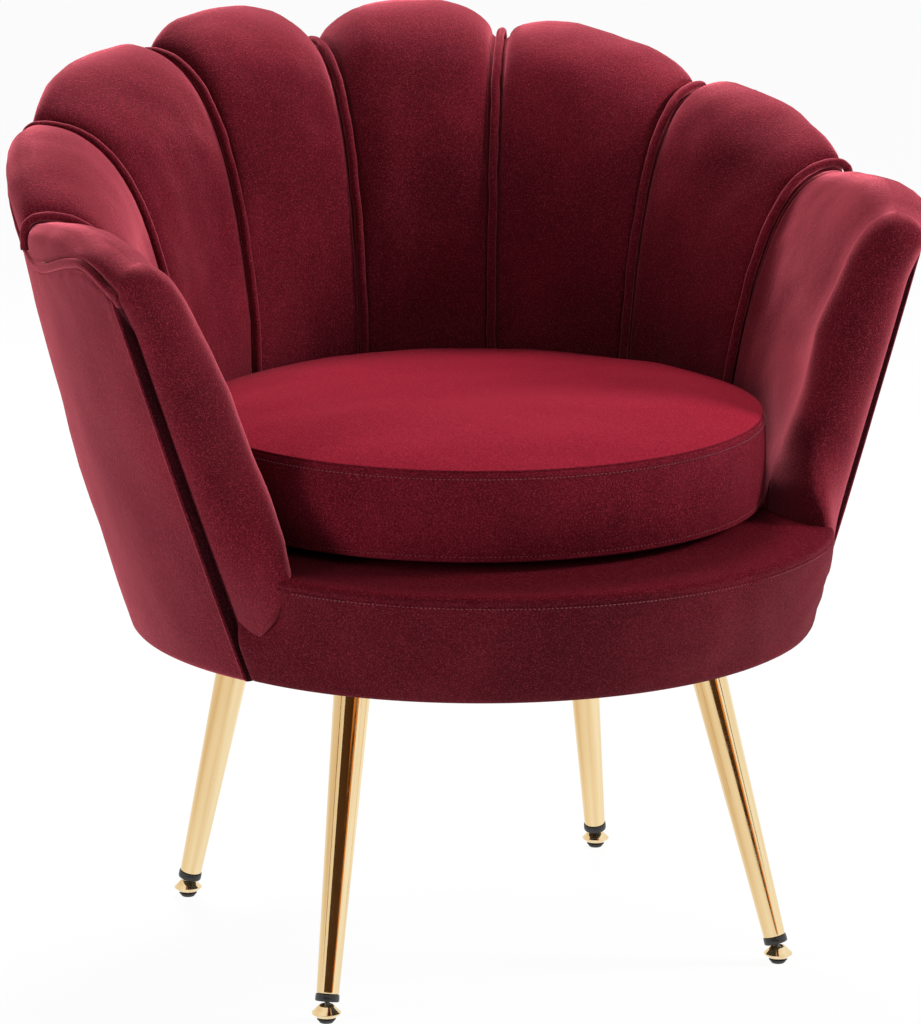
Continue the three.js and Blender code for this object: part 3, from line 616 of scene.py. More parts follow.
def welt_ring(station, first, last, along, recess=0.0, depth=COVER_THICKNESS):
    """Ring round the welt between its edges, which are heights and reaches ahead."""
    shape = [(0, -depth)]
    for across in ACROSS:
        off_middle = abs(2 * across - 1)
        proud = WELT_PROUD * (1 - off_middle**5) - 1.5 * off_middle**12
        proud = lerp(proud, -WELT_RECESS * min(across * 6, 1), recess)
        stitch = 0.5 * hump(across, 0.17, 0.05)
        ripple = 0.22 * math.sin(along / 2.3) * (1 - off_middle)
        shape.append((across, proud - stitch + ripple))
    ring = []
    for across, out in [*shape, (1, -depth)]:
        z, ahead = (lerp(*ends, across) for ends in zip(first, last))
        ring.append(cover_point(station, z, out, ahead))
    return ring


def welt_rings():
    """Rings of the welt: level round the cover's top, round its corner, and in a groove down the arm."""
    rings = []
    width = WELT_WIDTH - FIT
    for station in dense_stations():
        z, near = welt_height(station) + FIT, max(1 - (ARM_END - station) * 30, 0)
        last = (z + width, WELT_WIDTH * near)
        rings.append(welt_ring(station, (z, FIT * near), last, station * STATION_LENGTH))
    top, along = welt_height(ARM_END), ARM_END * STATION_LENGTH
    for turn in np.linspace(0, math.pi / 2, 9)[1:-1]:
        size = (math.cos(turn) ** 4 + math.sin(turn) ** 4) ** -0.25 * width
        last = (top + FIT + size * math.cos(turn), FIT + size * math.sin(turn))
        rings.append(welt_ring(ARM_END, (top + FIT, FIT), last, along))
    for z in np.linspace(top - 3, COVER_FOOT + 0.5, 90):
        recess = min((top - z) / 25, 1)
        rings.append(welt_ring(ARM_END, (z, FIT), (z, WELT_WIDTH), along + top - z, recess, SHELL_DEPTH))
    return rings


def make_welt():
    surface = skin(both_sides(welt_rings()))
    piece = stand_in("edge_welt", "band", surface, "trim", "velvet_trim", "chair", 60)
    # faces down the arm's front, in the groove behind the roll, take a darker velvet: painted shade
    piece.data.materials.append(looks["painted_groove_shade"])
    painted_shade_top, painted_shade_back = (welt_height(ARM_END) - 4) / 1000, -0.1
    for face in piece.data.polygons:
        if face.center.z < painted_shade_top and face.center.y < painted_shade_back:
            face.material_index = 1


# Seat base
DECK_CENTRE = np.array([0, -42, 0])
DECK_AHEAD, DECK_GAP, CORNER_REACH = AHEAD + 0.4, 0.8, 60
DECK_FOOT_INSETS = ((0, 7), (0.5, 3.4), (1.8, 1.4), (4, 0.4), (7, 0))  # height above the foot, inset
DECK_TOP_INSETS = (  # depth below the top, inset
    (10, 0), (8.2, 0.1), (7.4, 0.5), (6.8, 1.1), (6.2, 0.7), (5.2, 0.6),
    (3.8, 1.2), (2.4, 2.6), (1.1, 5), (0.3, 8), (0, 11))
DECK_TOP_SHARES = (0.97, 0.93, 0.88, 0.8, 0.7, 0.55, 0.35, 0.02)
DECK_UNDER = ((0.9, 0.05), (0.94, 0.06), (0.97, 0.03))  # share of the foot, drop
DECK_BOW, DECK_WAVES = 2.2, ((0.8, 120, 1), (0.3, 40, 0))
DECK_PULLS, PULL_HEIGHT = (3.1, 2, 50, 2, 11), 0.25
DENT_PLACE, DENT_SIZE, DENT_DEPTH = (258, -160), 34, 9  # where the roll's foot presses the base in
DUST_RADIUS, DUST_TOP, DUST_THICKNESS, DUST_SAG = 250, 282.1, 0.6, 0.9
DUST_SHARES = (0.01, 0.2, 0.4, 0.6, 0.75, 0.88, 0.96, 1)
STAPLES, STAPLE_SCALLOP, STAPLE_PULL = 32, 1.2, 2.4


def deck_outline(z, inset):
    """The base's edge at a height: round in front, along the arm's front face, then inside the shell."""
    rise = (z - BASE_FOOT) / (DECK - BASE_FOOT)
    radius = lerp(BASE_FOOT_RADIUS, DECK_RADIUS, rise) - inset
    centre = np.array([0, -lerp(BASE_FOOT_FORWARD, DECK_FORWARD, rise)])
    start = cover_point(ARM_END, z, 0, DECK_AHEAD)[:2]
    along = cover_point(ARM_END, z, -1, DECK_AHEAD)[:2] - start
    offset = start - centre
    b, c = 2 * along @ offset, offset @ offset - radius * radius
    root = math.sqrt(b * b - 4 * c)
    travel = (-b - root) / 2
    if travel < -CORNER_REACH:
        travel = (-b + root) / 2
    corner = start + along * travel
    inner = start + along * (SHELL_DEPTH + DECK_GAP)
    begin = math.atan2(corner[1] - centre[1], corner[0] - centre[0])
    angles = np.linspace(begin, -math.pi / 2, 70)
    front = centre + radius * spokes(angles)[:, :2]
    side = [lerp(inner, corner, share) for share in (0, 0.33, 0.66)]
    stations = np.linspace(0, ARM_END, 40)[:-1]
    back = [cover_point(s, z, -SHELL_DEPTH - DECK_GAP, DECK_AHEAD)[:2] for s in stations]
    half = np.concatenate([back, side, front])
    loop = np.concatenate([half, (half[1:-1] * [-1, 1])[::-1]])
    return np.column_stack([loop, np.full(len(loop), z)])


def outward(ring):
    """Level directions from the deck's centre to a ring's points."""
    out = ring - DECK_CENTRE
    out[:, 2] = 0
    return out / np.linalg.norm(out, axis=1)[:, None]


def deck_side(z, inset):
    """The base's outline at a height, with its bow, soft waves, pulls at the seam and the rolls' dents."""
    ring = deck_outline(z, inset)
    from_top, from_foot = DECK - z, z - BASE_FOOT
    rise = from_foot / (DECK - BASE_FOOT)
    arc = np.arctan2(ring[:, 1] - DECK_CENTRE[1], ring[:, 0]) * DECK_RADIUS
    lift = soft_waves(ring, DECK_WAVES) * min(from_top / 18, 1) * min(from_foot / 14, 1)
    lift += DECK_BOW * 4 * rise * (1 - rise) + PULL_HEIGHT * puckers(ring, arc, from_top, DECK_PULLS)
    to_roll = np.hypot(np.abs(ring[:, 0]) - DENT_PLACE[0], ring[:, 1] - DENT_PLACE[1])
    lift -= DENT_DEPTH * np.exp(-((to_roll / DENT_SIZE) ** 2)) * min(max((z - ROLL_FOOT) / 22, 0), 1)
    return ring + outward(ring) * lift[:, None]


def drawn_in(ring, share, z):
    ring = DECK_CENTRE + (ring - DECK_CENTRE) * share
    ring[:, 2] = z
    return ring


def make_deck():
    profile = [(BASE_FOOT + rise, inset) for rise, inset in DECK_FOOT_INSETS]
    profile += [(z, 0) for z in np.linspace(BASE_FOOT + 14, DECK - 14, 12)]
    profile += [(DECK - depth, inset) for depth, inset in DECK_TOP_INSETS]
    rings = [deck_side(z, inset) for z, inset in profile]
    under = [drawn_in(rings[0], share, BASE_FOOT - drop) for share, drop in DECK_UNDER]
    edge = rings[-1]
    for share in DECK_TOP_SHARES:
        ring = DECK_CENTRE + (edge - DECK_CENTRE) * share
        wave = 0.25 * unevenness(ring, 70, 1) * min((1 - share) * 12, 1)
        rings.append(drawn_in(edge, share, DECK - 0.5 * (1 - share) + wave))
    points, faces = skin(under + rings, caps=False)
    faces.append(tuple(range(len(points) - len(edge), len(points))))
    piece = stand_in("deck_cover", "velvet", (points, faces), "deck", "velvet")


def make_dust_cover():
    angles = circle(192)
    pleats = np.cos(angles * STAPLES)
    rings = []
    for share in DUST_SHARES:
        radius = DUST_RADIUS * share + STAPLE_SCALLOP * pleats * share**12
        ring = spokes(angles) * radius[:, None]
        pull = STAPLE_PULL * pleats * share**6 * (1 - share)
        ring[:, 2] = DUST_TOP - DUST_SAG * (1 - share**2) + pull + 0.12 * unevenness(ring, 60)
        rings.append(ring)
    under = [ring - [0, 0, DUST_THICKNESS] for ring in rings]
    piece = stand_in("dust_cover", "cloth", skin(rings + under[::-1]), "dust", "dust_cloth", "chair", 70)


# Cushion
CUSHION_LOW = DECK + FIT + CUSHION_SAG
CUSHION_HIGH = CUSHION_LOW + CUSHION_SIDE
CUSHION_TOP_SEAM = ((0.4, -0.6), (-0.5, -1.6))  # beyond the radius, above the seam
CUSHION_LOW_SEAM = ((0.9, 1.6), (1.6, 0.4), (0.4, -0.9))
CUSHION_WAVES = ((1, 110, 1), (0.3, 36, 2))
CUSHION_PUCKERS, CUSHION_GATHERS = (1, 2.5, 60, 3, 10), 78


def side_bulge(share):
    return CUSHION_BULGE * 4 * share * (1 - share)


def cushion_profile():
    """Radius and height down the cushion, from the middle of its top to the middle of its underside."""
    outline = []
    for share in np.sin(np.linspace(0.02, math.pi / 2, 26)):
        outline.append(((CUSHION_RADIUS - 1) * share, CUSHION_HIGH + CUSHION_CROWN * (1 - share**4)))
    outline += [(CUSHION_RADIUS + out, CUSHION_HIGH + up) for out, up in CUSHION_TOP_SEAM]
    for share in np.linspace(0.03, 0.96, 22):
        outline.append((CUSHION_RADIUS + side_bulge(share) + 0.6, lerp(CUSHION_HIGH, CUSHION_LOW, share)))
    outline += [(CUSHION_RADIUS + out, CUSHION_LOW + up) for out, up in CUSHION_LOW_SEAM]
    for share in np.sin(np.linspace(math.pi / 2 - 0.1, 0.02, 16)):
        outline.append(((CUSHION_RADIUS - 1) * share, CUSHION_LOW - CUSHION_SAG * (1 - share**6)))
    return outline


def make_cushion():
    angles = circle(260)
    out = spokes(angles)
    rings = []
    for radius, z in cushion_profile():
        ring = out * radius + [CUSHION_ASIDE, -CUSHION_FORWARD, z]
        inward = CUSHION_RADIUS - radius
        to_seam = min(math.hypot(inward, CUSHION_HIGH - z), math.hypot(inward, CUSHION_LOW - z))
        wave = soft_waves(ring, CUSHION_WAVES) * min(to_seam / 30, 1)
        pucker = puckers(ring, angles * CUSHION_GATHERS, to_seam, CUSHION_PUCKERS) * min(to_seam / 3, 1)
        if CUSHION_LOW < z < CUSHION_HIGH:
            ring += out * (0.9 * wave + 0.35 * pucker)[:, None]
        elif z > CUSHION_HIGH:
            ring[:, 2] += 0.6 * wave + 0.25 * pucker
        rings.append(ring)
    piece = stand_in("cushion_cover", "velvet", skin(rings), "cushion", "velvet", "cushion")


# Legs: outlines are radii and heights, from each part's own end or side
AXIS = 0.05
TUBE_MOUTH = ((-TUBE_WALL, 14), (-TUBE_WALL, 0.4), (-0.8, 0), (-0.25, 0.1), (0, 0.6))
TUBE_HEIGHTS = (1.2, 3, 8, 20, 60, 120, 180, 230)
COLLAR_OUTSIDE = ((-1, 0), (-0.3, 0.3), (0, 1), (0, 4.4), (-0.35, 4.9), (-0.1, 5.4), (-0.2, 6), (-0.9, 6.2))
DISC_OUTSIDE = (
    (AXIS, 0), (7.6, 0), (8, 0.3), (11.6, 3.4), (11.95, 3.7), (12, 4.2), (11.95, 4.7), (11.5, 5),
    (6.3, 10.2), (5.7, 10.7), (5.1, 10.8), (4.2, 10.8), (4, 10.4))
PAD_OUTSIDE = (
    (AXIS, 0), (5.4, 0), (5.7, 0.25), (6.9, 1.9), (7.6, 2.6), (7.75, 3), (7.7, 3.5), (7.2, 3.8), (AXIS, 3.8))
PAD_HEIGHT = PAD_OUTSIDE[-1][1]
SOCKET_RADIUS = BALL_RADIUS + 0.45
THREAD_PITCH, THREAD_DEPTH = 0.8, 0.3


def leg_frame(end, side):
    """A leg's own frame and a level one, both at its ball, and the leg's length."""
    ball, top = (
        Vector((side * radius * math.cos(math.radians(angle)), radius * math.sin(math.radians(angle)), z))
        for (radius, angle), z in zip(LEGS[end], (BALL_HEIGHT, BASE_FOOT)))
    direction = (top - ball).normalized()
    turn = Vector((0, 0, 1)).rotation_difference(direction).to_matrix().to_4x4()
    level = Matrix.Translation((ball + Vector((0, SHIFT_Y, 0))) / 1000)
    return level @ turn, level, (LEG_TOP - BALL_HEIGHT) / direction.z


def tube_rings(place, length):
    """The tapered tube, its top cut level on the underside of the base."""
    sides = 72
    start = NECK + COLLAR_HEIGHT
    slope = (TUBE_TOP - TUBE_END) / (length - start)
    outline = [(TUBE_END + out, start + up) for out, up in TUBE_MOUTH]
    outline += [(TUBE_END + slope * up, start + up) for up in TUBE_HEIGHTS]
    across = spokes(circle(sides))
    lean = np.array(place)[2]
    along = (LEG_TOP - BALL_HEIGHT - TUBE_TOP * (across @ lean[:3])) / lean[2]
    last = across * (TUBE_END + slope * (along - start))[:, None]
    last[:, 2] = along
    return [*turned(outline, sides), last]


def collar_outline():
    bore = STEM_RADIUS + FIT
    outside = [(COLLAR_RADIUS + out, NECK + up) for out, up in COLLAR_OUTSIDE]
    return [(bore, NECK), *outside, (bore, outside[-1][1])]


def ball_arc(radius, turns):
    """Outline of a ball round the frame's origin, at turns from its lowest point."""
    return [(radius * math.sin(turn), -radius * math.cos(turn)) for turn in turns]


def stem_outline():
    """The ball, and above it the thread."""
    meets = math.asin(STEM_RADIUS / BALL_RADIUS)
    turns = np.linspace(0.15, math.pi - meets, 14)
    outline = [(AXIS, -BALL_RADIUS), *ball_arc(BALL_RADIUS, turns)]
    z = BALL_RADIUS * math.cos(meets) + THREAD_DEPTH
    while z < STEM_LENGTH - 1:
        outline += [(STEM_RADIUS - THREAD_DEPTH, z), (STEM_RADIUS + 0.05, z + 0.35)]
        z += THREAD_PITCH
    return [*outline, (STEM_RADIUS - 0.5, STEM_LENGTH), (AXIS, STEM_LENGTH)]


def disc_outline():
    foot = PAD_HEIGHT - BALL_HEIGHT + FIT
    turns = np.linspace(math.pi - 0.9, 0.3, 10)
    return [(radius, foot + up) for radius, up in DISC_OUTSIDE] + ball_arc(SOCKET_RADIUS, turns)


def make_leg(end, side):
    name = f"{end}_{'right' if side > 0 else 'left'}"
    place, level, length = leg_frame(end, side)
    collar = turned(collar_outline(), 64)
    pad = turned([(radius, up - BALL_HEIGHT) for radius, up in PAD_OUTSIDE], 64)
    stem, foot = f"glide_stem_{name}", f"glide_foot_{name}"
    parts = (
        ("leg_tube", "polished", tube_rings(place, length), "gold", "gold_plate", "chair", 35, place),
        ("leg_collar", "moulded", collar, "plastic", "black_plastic", "chair", 35, place),
        ("glide_stem", "threaded", turned(stem_outline(), 24), "steel", "steel", stem, 80, place),
        ("glide_disc", "polished", turned(disc_outline(), 72), "disc", "gold_plate", foot, 35, level),
        ("glide_pad", "moulded", pad, "rubber", "black_rubber", foot, 35, level))
    for part, ending, rings, *rest in parts:
        stand_in(f"{part}_{name}", ending, skin(rings), *rest)


# Stitches
STITCH_LENGTH, STITCH_RADIUS, STITCH_PITCH = 2.3, 0.42, 3.6
STITCH_SHAPE = (  # place along the stitch, size and lift
    (0, 0.3, -0.35), (0.25, 0.9, 0.05), (0.5, 1, 0.2), (0.75, 0.9, 0.05), (1, 0.3, -0.35))
STITCH_FRONT = -204  # the deck's stitches stop where the arms' rolls begin


def make_stitches(name, route, normals, body):
    """Thread stitches along a route, each a short pod."""
    along = distances(route)
    stitches = []
    for middle in np.arange(STITCH_PITCH, along[-1] - STITCH_PITCH, STITCH_PITCH):
        start, end = look_up(route, along, middle + STITCH_LENGTH / 2 * np.array([-1, 1]))
        up = unit(look_up(normals, along, middle))
        sideways = np.cross(unit(end - start), up)
        turns = circle(6)[:, None]
        ring = STITCH_RADIUS * (up * np.cos(turns) + sideways * np.sin(turns))
        rings = [lerp(start, end, share) + up * lift + size * ring for share, size, lift in STITCH_SHAPE]
        stitches.append(skin(rings, caps=False))
    make_mesh(name, merged(stitches), "thread", "velvet_trim", body)


def make_cushion_stitches():
    out = spokes(np.linspace(0, 2 * math.pi, 361))
    for name, z, proud in (("top", CUSHION_HIGH - 7, 1), ("bottom", CUSHION_LOW + 3.5, 0.4)):
        radius = CUSHION_RADIUS + side_bulge((CUSHION_HIGH - z) / CUSHION_SIDE) + proud
        route = out * radius + [CUSHION_ASIDE, -CUSHION_FORWARD, z]
        make_stitches(f"cushion_stitches_{name}", route, out, "cushion")


def make_deck_stitches():
    ring = deck_outline(DECK - 9, 0)
    front = ring[ring[:, 1] < STITCH_FRONT]
    front = front[np.argsort(np.arctan2(front[:, 1] - DECK_CENTRE[1], front[:, 0]))]
    out = outward(front)
    make_stitches("deck_stitches", front + out * 0.75, out, "chair")


# Materials
class NodeTree:
    """A node tree with short ways to add nodes."""

    def __init__(self, tree):
        self.tree = tree

    def feed(self, value, socket):
        """Give a socket a value, or the output of another node."""
        if isinstance(value, bpy.types.NodeSocket):
            self.tree.links.new(value, socket)
        else:
            socket.default_value = (*value, 1) if socket.type == "RGBA" else value

    def add(self, kind, *first, **named):
        """A new node, with what its first inputs and its named ones are fed."""
        node = self.tree.nodes.new(f"ShaderNode{kind}")
        for value, socket in zip(first, node.inputs):
            self.feed(value, socket)
        for name, value in named.items():
            self.feed(value, node.inputs[name])
        return node

    def math(self, operation, a, b):
        node = self.add("Math", a, b)
        node.operation = operation
        return node.outputs[0]

    def seen_rays(self):
        """1 for rays from the camera and for those that metal or glass sends on."""
        path = self.add("LightPath").outputs
        rays = self.math("MAXIMUM", path["Is Camera Ray"], path["Is Glossy Ray"])
        return self.math("MAXIMUM", rays, path["Is Transmission Ray"])


class Material(NodeTree):
    """A new material on the object's own coordinates, with short ways to add textures."""

    def __init__(self, name):
        self.material = bpy.data.materials.new(name)
        self.material.use_nodes = True
        super().__init__(self.material.node_tree)
        self.shader = self.tree.nodes["Principled BSDF"]
        coordinates = self.add("TexCoord").outputs
        self.place, self.normal = coordinates["Object"], coordinates["Normal"]

    def stretched(self, *stretch):
        return self.add("Mapping", Scale=stretch, Vector=self.place).outputs["Vector"]

    def noise(self, scale, detail=2.0, rough=0.5, stretch=None, distortion=0.0):
        place = self.stretched(*stretch) if stretch else self.place
        node = self.add("TexNoise", place, Scale=scale, Detail=detail, Roughness=rough, Distortion=distortion)
        return node.outputs["Fac"]

    def wave(self, stretch, bands="X", distortion=0.0, scale=1.0):
        place = self.stretched(stretch, stretch, stretch)
        node = self.add("TexWave", place, Scale=scale, Distortion=distortion, Detail=0)
        node.bands_direction = bands
        return node.outputs["Fac"]

    def voronoi(self, scale):
        return self.add("TexVoronoi", Scale=scale, Vector=self.place).outputs["Distance"]

    def facing_up(self):
        """0 on upright faces and 1 on level ones that look up."""
        split = self.add("SeparateXYZ", Vector=self.normal)
        return self.ramp(split.outputs["Z"], (0.45, 0.0), (0.9, 1.0))

    def ramp(self, source, *stops):
        node = self.add("ValToRGB", Fac=source)
        ramp = node.color_ramp
        while len(ramp.elements) < len(stops):
            ramp.elements.new(0.5)
        for element, (position, color) in zip(ramp.elements, stops):
            element.position = position
            element.color = (*color, 1) if isinstance(color, tuple) else (color, color, color, 1)
        return node.outputs["Color"]

    def mix(self, factor, a, b):
        node = self.add("Mix")
        node.data_type = "RGBA"
        for place, value in ((0, factor), (6, a), (7, b)):
            self.feed(value, node.inputs[place])
        return node.outputs[2]

    def bump(self, height, strength, distance, below=None):
        node = self.add("Bump", Strength=strength, Distance=distance, Height=height)
        if below is not None:
            self.feed(below, node.inputs["Normal"])
        return node.outputs["Normal"]

    def finish(self, color, roughness, normal=None, **values):
        """Feed the shader, whose other inputs are named with _ for a space."""
        self.feed(color, self.shader.inputs["Base Color"])
        self.feed(roughness, self.shader.inputs["Roughness"])
        if normal is not None:
            self.feed(normal, self.shader.inputs["Normal"])
        for name, value in values.items():
            self.feed(value, self.shader.inputs[name.replace("_", " ")])
        return self.material

    def show(self, node):
        """Give the whole material the look of a node."""
        self.feed(node.outputs[0], self.tree.nodes["Material Output"].inputs["Surface"])


def velvet(name, deep, mid, pale, sheen=1.0, tint=(1.0, 0.2, 0.26), top=None, top_sheen=None):
    """Short pile: faint brushed patches, fine speckle of darker hairs and painted glints where single hairs
    catch the light, and a sheen.
    """
    n = Material(name)
    patches = n.noise(9.0, 3.0, 0.5, distortion=0.3)
    low, high = (tuple(lerp(m, other, 0.3) for m, other in zip(mid, tone)) for tone in (deep, pale))
    color = n.ramp(patches, (0.3, low), (0.5, mid), (0.75, high))
    # faces that look up take the top colour: painted light on the cushion's top, painted shadow on the base's
    # top
    if top:
        color = n.mix(n.facing_up(), color, top)
    if top_sheen is not None:
        sheen = n.math("ADD", n.math("MULTIPLY", n.facing_up(), top_sheen - sheen), sheen)
    hairs = n.noise(820, 2.0, 0.75)
    color = n.mix(n.ramp(hairs, (0.32, 0.6), (0.5, 0.0)), color, deep)
    # painted highlight: the brightest hairs are lightened, as glints of single hairs
    color = n.mix(n.ramp(hairs, (0.52, 0.0), (0.7, 0.55)), color, tuple(part * 1.4 + 0.02 for part in pale))
    pile = n.bump(hairs, 0.5, 0.0009)
    nap = n.bump(n.noise(150, 3.0, 0.6), 0.12, 0.002, pile)
    rough = n.ramp(patches, (0.3, 0.92), (0.7, 0.82))
    return n.finish(color, rough, nap, Sheen_Weight=sheen, Sheen_Roughness=0.42,
                    Sheen_Tint=tint, Specular_IOR_Level=0.08)


def gold(name, stretch=(60, 60, 0.6)):
    n = Material(name)
    # streaks of darker, more orange and paler gold along the tube: polishing streaks and partly painted
    # reflection
    polish_and_painted_reflection = n.noise(1.0, 3.0, 0.6, stretch=stretch)
    color = n.ramp(polish_and_painted_reflection, (0.32, (0.68, 0.43, 0.18)), (0.5, (0.83, 0.61, 0.32)), (0.68, (0.91, 0.74, 0.45)))
    rough = n.ramp(n.noise(60, 5.0, 0.7), (0.4, 0.05), (0.75, 0.16))
    fine = n.bump(n.noise(1.0, 3.0, 0.6, stretch=(900, 900, 20)), 0.03, 0.0004)
    return n.finish(color, rough, fine, Metallic=1.0)


def steel():
    n = Material("zinc plated steel")
    cast = n.noise(220, 4.0, 0.6)
    color = n.ramp(cast, (0.3, (0.42, 0.41, 0.38)), (0.7, (0.66, 0.65, 0.6)))
    return n.finish(color, n.ramp(cast, (0.3, 0.25), (0.8, 0.45)), n.bump(cast, 0.1, 0.0003), Metallic=1.0)


def plastic(name, tone, rough_low, rough_high, grain):
    n = Material(name)
    speck = n.noise(grain, 3.0, 0.6)
    color = n.ramp(speck, (0.3, (tone, tone, tone)), (0.75, (tone * 2.2, tone * 2.1, tone * 2.1)))
    scuff = n.noise(90, 5.0, 0.65)
    return n.finish(color, n.ramp(scuff, (0.35, rough_low), (0.75, rough_high)), n.bump(speck, 0.15, 0.0003))


def plywood():
    n = Material("bent plywood")
    grain = n.noise(1.0, 6.0, 0.6, stretch=(22, 22, 190), distortion=0.4)
    color = n.ramp(grain, (0.3, (0.36, 0.22, 0.11)), (0.5, (0.62, 0.44, 0.25)), (0.72, (0.76, 0.6, 0.39)))
    plies = n.wave(1000, "Z", scale=0.16)
    color = n.mix(n.ramp(plies, (0.0, 0.25), (0.3, 0.0)), color, (0.3, 0.18, 0.09))
    return n.finish(color, n.ramp(grain, (0.3, 0.75), (0.7, 0.55)), n.bump(grain, 0.2, 0.0006))


def webbing():
    n = Material("elastic seat webbing")
    warp = n.wave(620)
    weft = n.wave(620, "Y")
    weave = n.math("MULTIPLY", warp, weft)
    stripe = n.wave(32, distortion=0.3)
    color = n.mix(n.ramp(stripe, (0.85, 0.0), (0.95, 0.6)), (0.035, 0.033, 0.033), (0.16, 0.03, 0.03))
    color = n.mix(weave, color, (0.11, 0.1, 0.1))
    return n.finish(color, 0.85, n.bump(weave, 0.6, 0.0008))


def foam():
    n = Material("open cell foam")
    cells = n.voronoi(420)
    tint = n.noise(14, 3.0)
    color = n.ramp(tint, (0.35, (0.76, 0.68, 0.48)), (0.7, (0.86, 0.81, 0.64)))
    color = n.mix(n.ramp(cells, (0.0, 0.5), (0.4, 0.0)), color, (0.5, 0.42, 0.28))
    return n.finish(color, 0.95, n.bump(cells, 0.5, 0.001))


def dust_cloth():
    n = Material("non-woven dust cloth")
    dots = n.voronoi(520)
    fibre = n.noise(700, 4.0, 0.75)
    color = n.ramp(fibre, (0.3, (0.012, 0.012, 0.013)), (0.75, (0.06, 0.06, 0.063)))
    color = n.mix(n.ramp(dots, (0.15, 0.7), (0.3, 0.0)), color, (0.005, 0.005, 0.005))
    return n.finish(color, 0.9, n.bump(dots, 0.3, 0.0005))


def zip_tape():
    n = Material("zip tape and teeth")
    teeth = n.wave(900, "DIAGONAL")
    weave = n.noise(900, 3.0, 0.7)
    color = n.ramp(weave, (0.3, (0.03, 0.008, 0.012)), (0.7, (0.12, 0.02, 0.035)))
    return n.finish(color, n.ramp(teeth, (0.3, 0.8), (0.7, 0.5)), n.bump(teeth, 0.6, 0.0008))


def thread():
    n = Material("sewing thread")
    twist = n.wave(1400, "DIAGONAL", 1.0)
    color = n.ramp(twist, (0.2, (0.08, 0.004, 0.011)), (0.8, (0.2, 0.018, 0.034)))
    return n.finish(color, 0.55, n.bump(twist, 0.3, 0.0003), Sheen_Weight=0.2)


def darker(tone, share):
    return tuple(part * share for part in tone)


DEEP, MID, PALE = (0.028, 0.0015, 0.004), (0.088, 0.0038, 0.0095), (0.23, 0.013, 0.028)
# colours of faces that look up: painted light on the cushion's top, painted shadow of the cushion on the
# base's top
CUSHION_TOP_PAINTED_LIGHT, DECK_TOP_PAINTED_SHADOW = (0.2, 0.0055, 0.017), (0.062, 0.0014, 0.005)
CUSHION_TINT, BASE_PAINTED_SHADE = (1.0, 0.14, 0.2), 0.76
# the seat base's velvet is a darker copy of the same velvet: painted shade
painted_shade_base_tones = [darker(tone, BASE_PAINTED_SHADE) for tone in (DEEP, MID, PALE)]
looks = {
    "petal": velvet("petal velvet", DEEP, MID, PALE),
    "cover": velvet("back cover velvet", DEEP, MID, PALE),
    "cushion": velvet("cushion velvet with painted light on top", DEEP, MID, PALE, 0.18, CUSHION_TINT, CUSHION_TOP_PAINTED_LIGHT),
    "deck": velvet("seat base velvet with painted shade", *painted_shade_base_tones, 0.15, CUSHION_TINT, DECK_TOP_PAINTED_SHADOW, 0.01),
    "trim": velvet("piping velvet", DEEP, MID, PALE),
    # a darker copy of the velvet for the groove down the arm's front: painted shade
    "painted_groove_shade": velvet("velvet with painted shade in the groove", darker(DEEP, 0.5), DEEP, MID, 0.1),
    "gold": gold("polished gold plate"),
    "disc": gold("polished gold disc", (50, 50, 50)),
    "steel": steel(),
    "plastic": plastic("moulded black plastic", 0.012, 0.3, 0.5, 900),
    "rubber": plastic("moulded black rubber", 0.015, 0.6, 0.85, 500),
    "thread": thread(),
    "plywood": plywood(),
    "webbing": webbing(),
    "foam": foam(),
    "dust": dust_cloth(),
    "zip": zip_tape(),
}


def dress(node, material):
    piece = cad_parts[node]
    piece.data.materials.clear()
    piece.data.materials.append(material)


# The chair
for number in range(ARM_END):
    for side in (1, -1):
        make_petal(number, side)
make_piping(0, 1)
for seam in range(1, ARM_END):
    for side in (1, -1):
        make_piping(seam, side)
make_cover()
make_welt()
make_deck()
make_dust_cover()
make_cushion()
make_cushion_stitches()
make_deck_stitches()
for end in LEGS:
    for side in (1, -1):
        make_leg(end, side)

leg_names = [f"{end}_{side}" for end in LEGS for side in ("right", "left")]
for node, look in {
    "plywood_shell": "plywood", "base_board": "plywood", "base_ring": "plywood", "seat_webbing": "webbing",
    "deck_foam": "foam", "cushion_foam": "foam", "cushion_zip": "zip", "zip_slider": "steel",
}.items():
    dress(node, looks[look])
for name in leg_names:
    dress(f"corner_block_{name}", looks["plywood"])
    dress(f"leg_plug_{name}", looks["steel"])


# Floor, light and camera
FLOOR_RADIUS, FLOOR_GLOW, WORLD_FILL = 40, 0.95, 0.24
CAMERA_PLACE = (-1.595154, -3.897762, 1.357080)
CAMERA_AHEAD, CAMERA_RIGHT = (0.36773, 0.90118, -0.22944), (0.92588, -0.37781, 0)
FOCAL_PIXELS, CENTRE_PIXEL, SENSOR = 5049.35, (452.48, 511.17), 36
LIGHTS = (  # name, place, aim, size and power
    ("key", (0.5, 1.3, 2.3), (0, 0, 0.4), 0.7, 58),
    ("right", (2.8, -0.9, 1.9), (0, 0, 0.45), 0.9, 118),
    ("left", (-2.6, -0.7, 0.85), (0, 0, 0.45), 0.9, 34),
    ("front_fill", (0.2, -3.2, 1.6), (0, 0, 0.45), 2.0, 9),
    ("back", (-0.6, 2.6, 1.2), (0, 0.1, 0.4), 1.5, 18))
DARK, AMBER, BROWN = (0.09, 0.045, 0.02), (0.8, 0.3, 0.06), (0.2, 0.1, 0.04)
